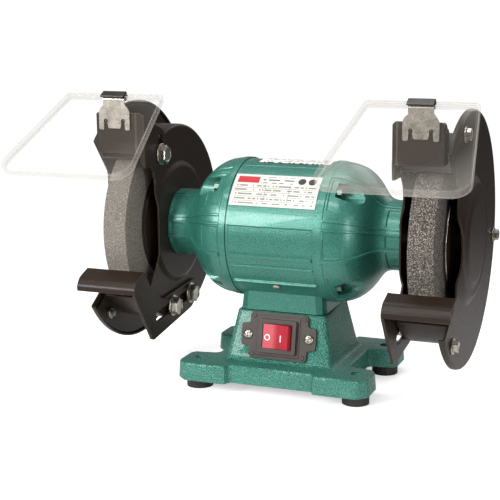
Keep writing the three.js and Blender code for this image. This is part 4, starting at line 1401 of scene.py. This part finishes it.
# %% The rating plate, the label and the rocker
def printed_plate():
    made, tree, shader = new_material("printed_plate", Roughness=0.35, Specular_IOR_Level=0.4)
    u, v = barrel_place(tree)
    low, high = 26.9, 56.2
    slow = use_group(tree, MOTTLE, Color=rgb(205, 203, 195), Scale=40.0, Amount=0.05)
    table = block_mask(tree, u, v, -33.5, 33.5, low + 2, high - 10)
    rules = both(tree, row_lines(tree, v, 3.9, 0.16), table)
    uprights = math_node(tree, "MAXIMUM", within(tree, u, -8, 0.16), within(tree, u, 12, 0.16))
    rules = math_node(tree, "MAXIMUM", rules, both(tree, uprights, table))
    words = both(tree, dashes(tree, u, v, 3.9, 1.3), table)
    title = block_mask(tree, u, v, -12, 14, high - 8.5, high - 1.8)
    heading = both(tree, dashes(tree, u, v, 3.3, 1.9), title)
    shade = blend(tree, both(tree, words, 0.75), slow.outputs["Color"], rgb(74, 74, 76))
    shade = blend(tree, heading, shade, rgb(64, 64, 66))
    shade = blend(tree, rules, shade, rgb(96, 98, 100))
    shade = blend(tree, block_mask(tree, u, v, -33, -15, high - 8.6, high - 2), shade, rgb(178, 34, 42))
    for at in (20.5, 29.0):
        shade = blend(tree, disc_mask(tree, u, v, at, high - 5.3, 3.2), shade, rgb(36, 34, 34))
    wire(tree, shade, shader.inputs["Base Color"])
    return made


def printed_label():
    made, tree, shader = new_material("printed_label", Roughness=0.5)
    u, v = barrel_place(tree)
    slow = use_group(tree, MOTTLE, Color=rgb(232, 231, 226), Scale=40.0, Amount=0.05)
    words = both(tree, dashes(tree, u, v, 3.2, 1.8), within(tree, u, 5, 26))
    wire(tree, blend(tree, words, slow.outputs["Color"], rgb(90, 88, 86)), shader.inputs["Base Color"])
    return made


def marked_rocker():
    """Red moulding with a plain ring and a bar printed on it, and a painted highlight on its left half."""
    made, tree, shader = new_material("marked_rocker", Roughness=0.28, Coat_Weight=0.5, Subsurface_Weight=0.1)
    place = tree.nodes.new("ShaderNodeTexCoord")
    split = tree.nodes.new("ShaderNodeSeparateXYZ")
    wire(tree, place.outputs["Object"], split.inputs[0])
    u = math_node(tree, "MULTIPLY", split.outputs["X"], 1000.0)
    v = math_node(tree, "MULTIPLY_ADD", split.outputs["Z"], 1000.0, -SWITCH_Z)
    body = use_group(tree, MOTTLE, Color=rgb(160, 16, 38), Scale=90.0, Amount=0.1)
    # The rocker's left half is painted a paler pink: a painted highlight.
    pale = spread(tree, u, -1.5, -3.5, 0.0, 0.3)
    shade = blend(tree, pale, body.outputs["Color"], rgb(232, 110, 124))
    ring = disc_mask(tree, u, v, -8.0, 0.4, 2.5, 1.7)
    bar = block_mask(tree, u, v, 3.2, 4.1, -2.2, 3.0)
    marks = math_node(tree, "MAXIMUM", ring, bar)
    wire(tree, blend(tree, marks, shade, rgb(240, 226, 222)), shader.inputs["Base Color"])
    return made


def label_faces():
    """A thin curved sheet on top of the barrel."""
    bm = bmesh.new()
    rings = []
    for radius in (56.0, 56.3):
        for at in [79 + 18 * k / 12 for k in range(13)]:
            y, z = polar(radius, at)
            rings.append([bm.verts.new((-25, y, z)), bm.verts.new((35, y, z))])
    inner, outer = rings[:13], rings[13:]
    loop = outer + inner[::-1]
    for a, b in zip(loop, loop[1:] + loop[:1]):
        bm.faces.new([a[0], a[1], b[1], b[0]])
    for k in (0, 1):
        for i in range(12):
            bm.faces.new([outer[i][k], outer[i + 1][k], inner[i + 1][k], inner[i][k]])
    return bm


label = crisp(drawn("top_label", label_faces(), printed_label()))
settle(label, "frame", "rating_plate")

# %% Finishes on the parts that keep their shape
BOLT_TEAL = plated("painted_bolt", rgb(104, 122, 114), 0.42)
KEPT = {
    RUBBER: [f"foot_{a}_{b}" for a in ("front", "back") for b in ("left", "right")] + ["cable_gland"],
    SHEET_BLACK: ["bottom_plate"],
    SWITCH_DARK: ["run_capacitor", "switch_body"],
    BOLT_TEAL: [f"tie_bolt_{i}" for i in (1, 2, 3, 4)],
    TURNED_STEEL: ["shaft", "bearing_left", "bearing_right"],
    IRON: ["stator_core", "rotor_core"],
    COPPER: ["winding_left", "winding_right"],
    marked_rocker(): ["switch_rocker"],
    printed_plate(): ["rating_plate"],
}
for material, names in KEPT.items():
    for name in names:
        node = frame["nodes"][name]
        node.data.materials.clear()
        node.data.materials.append(material)
print("kept parts:", sum(len(names) for names in KEPT.values()))

# %% [markdown]
# ## Light, floor and camera
# A pale floor, a large soft key from the upper left, a weaker fill and a bright surround.

# %% Floor
def floor_material():
    finish = {"Roughness": 0.7, "Specular_IOR_Level": 0.1, "Emission_Strength": 1.0}
    made, tree, shader = new_material("pale_floor", **finish)
    slow = use_group(tree, MOTTLE, Color=rgb(252, 251, 250), Scale=3.0, Amount=0.01)
    place = tree.nodes.new("ShaderNodeTexCoord")
    away = tree.nodes.new("ShaderNodeVectorMath")
    away.operation = "LENGTH"
    wire(tree, place.outputs["Object"], away.inputs[0])
    far = spread(tree, away.outputs["Value"], 0.15, 0.75)
    black = (0.0, 0.0, 0.0, 1.0)
    wire(tree, blend(tree, far, slow.outputs["Color"], (0.1, 0.1, 0.1, 1.0)), shader.inputs["Base Color"])
    ray = tree.nodes.new("ShaderNodeLightPath")
    glow = blend(tree, far, (0.5, 0.5, 0.5, 1.0), (1.0, 1.0, 1.0, 1.0))
    wire(tree, blend(tree, ray.outputs["Is Camera Ray"], black, glow), shader.inputs["Emission Color"])
    return made


floor_mesh = bpy.data.meshes.new("floor")
floor_mesh.from_pydata([(-60, -60, 0), (60, -60, 0), (60, 60, 0), (-60, 60, 0)], [], [(0, 1, 2, 3)])
floor_mesh.materials.append(floor_material())
floor = bpy.data.objects.new("floor", floor_mesh)
bpy.context.scene.collection.objects.link(floor)


# %% Lights
def soft_light(name, place, target, width, height, power, colour=(1, 1, 1)):
    data = bpy.data.lights.new(name, "AREA")
    data.shape = "RECTANGLE"
    data.size = width
    data.size_y = height
    data.energy = power
    data.color = colour
    light = bpy.data.objects.new(name, data)
    light.location = place
    light.rotation_euler = (Vector(target) - Vector(place)).to_track_quat("-Z", "Y").to_euler()
    bpy.context.scene.collection.objects.link(light)
    return light


MIDDLE = (0.0, 0.0, 0.13)
soft_light("key", (-0.85, -1.4, 0.75), MIDDLE, 0.6, 0.6, 28)
soft_light("strip", (-0.1, -0.75, 1.25), MIDDLE, 1.1, 0.16, 9)
soft_light("top", (-0.1, 0.3, 1.5), MIDDLE, 1.0, 0.6, 7)
soft_light("fill", (1.4, -0.9, 0.4), MIDDLE, 0.3, 0.8, 9)
soft_light("back", (0.4, 1.6, 1.0), MIDDLE, 1.2, 0.8, 4)

world = bpy.data.worlds.new("surround")
bpy.context.scene.world = world
world.use_nodes = True
sky = world.node_tree
ray = sky.nodes.new("ShaderNodeLightPath")
shown = sky.nodes["Background"]
shown.inputs["Color"].default_value = (1, 1, 1, 1)
strength = spread(sky, ray.outputs["Is Camera Ray"], 0.0, 1.0, 0.3, 1.0)
wire(sky, strength, shown.inputs["Strength"])
bpy.context.scene.view_settings.view_transform = "Standard"

# %% Camera
CAMERA_AT = Vector((339.28, -932.6, 322.3))  # mm over the shaft
AZIMUTH = math.radians(22.047)
ELEVATION = math.radians(12.07)
ROLL = math.radians(-0.626)
flat = math.cos(ELEVATION)
forward = Vector((-math.sin(AZIMUTH) * flat, math.cos(AZIMUTH) * flat, -math.sin(ELEVATION)))
level = Vector((math.cos(AZIMUTH), math.sin(AZIMUTH), 0))
upright = level.cross(forward)
right = level * math.cos(ROLL) + upright * math.sin(ROLL)
up = upright * math.cos(ROLL) - level * math.sin(ROLL)
lens = bpy.data.cameras.new("camera")
lens.lens = 88.99
lens.sensor_width = 36.0
lens.clip_end = 200.0
camera = bpy.data.objects.new("camera", lens)
turned_to = Matrix((right, up, -forward)).transposed().to_4x4()
camera.matrix_world = Matrix.Translation((CAMERA_AT + Vector((0, SHAFT.y, 0))) * MM) @ turned_to
bpy.context.scene.collection.objects.link(camera)
bpy.context.scene.camera = camera

# %% Put the workshop copies away and finish
for part in (hex_bolt, cover_screw, back_nut, bolt_nut, shaft_nut, rivet, pan_screw, boss):
    bpy.data.objects.remove(part)
bpy.data.materials.remove(TOOL)
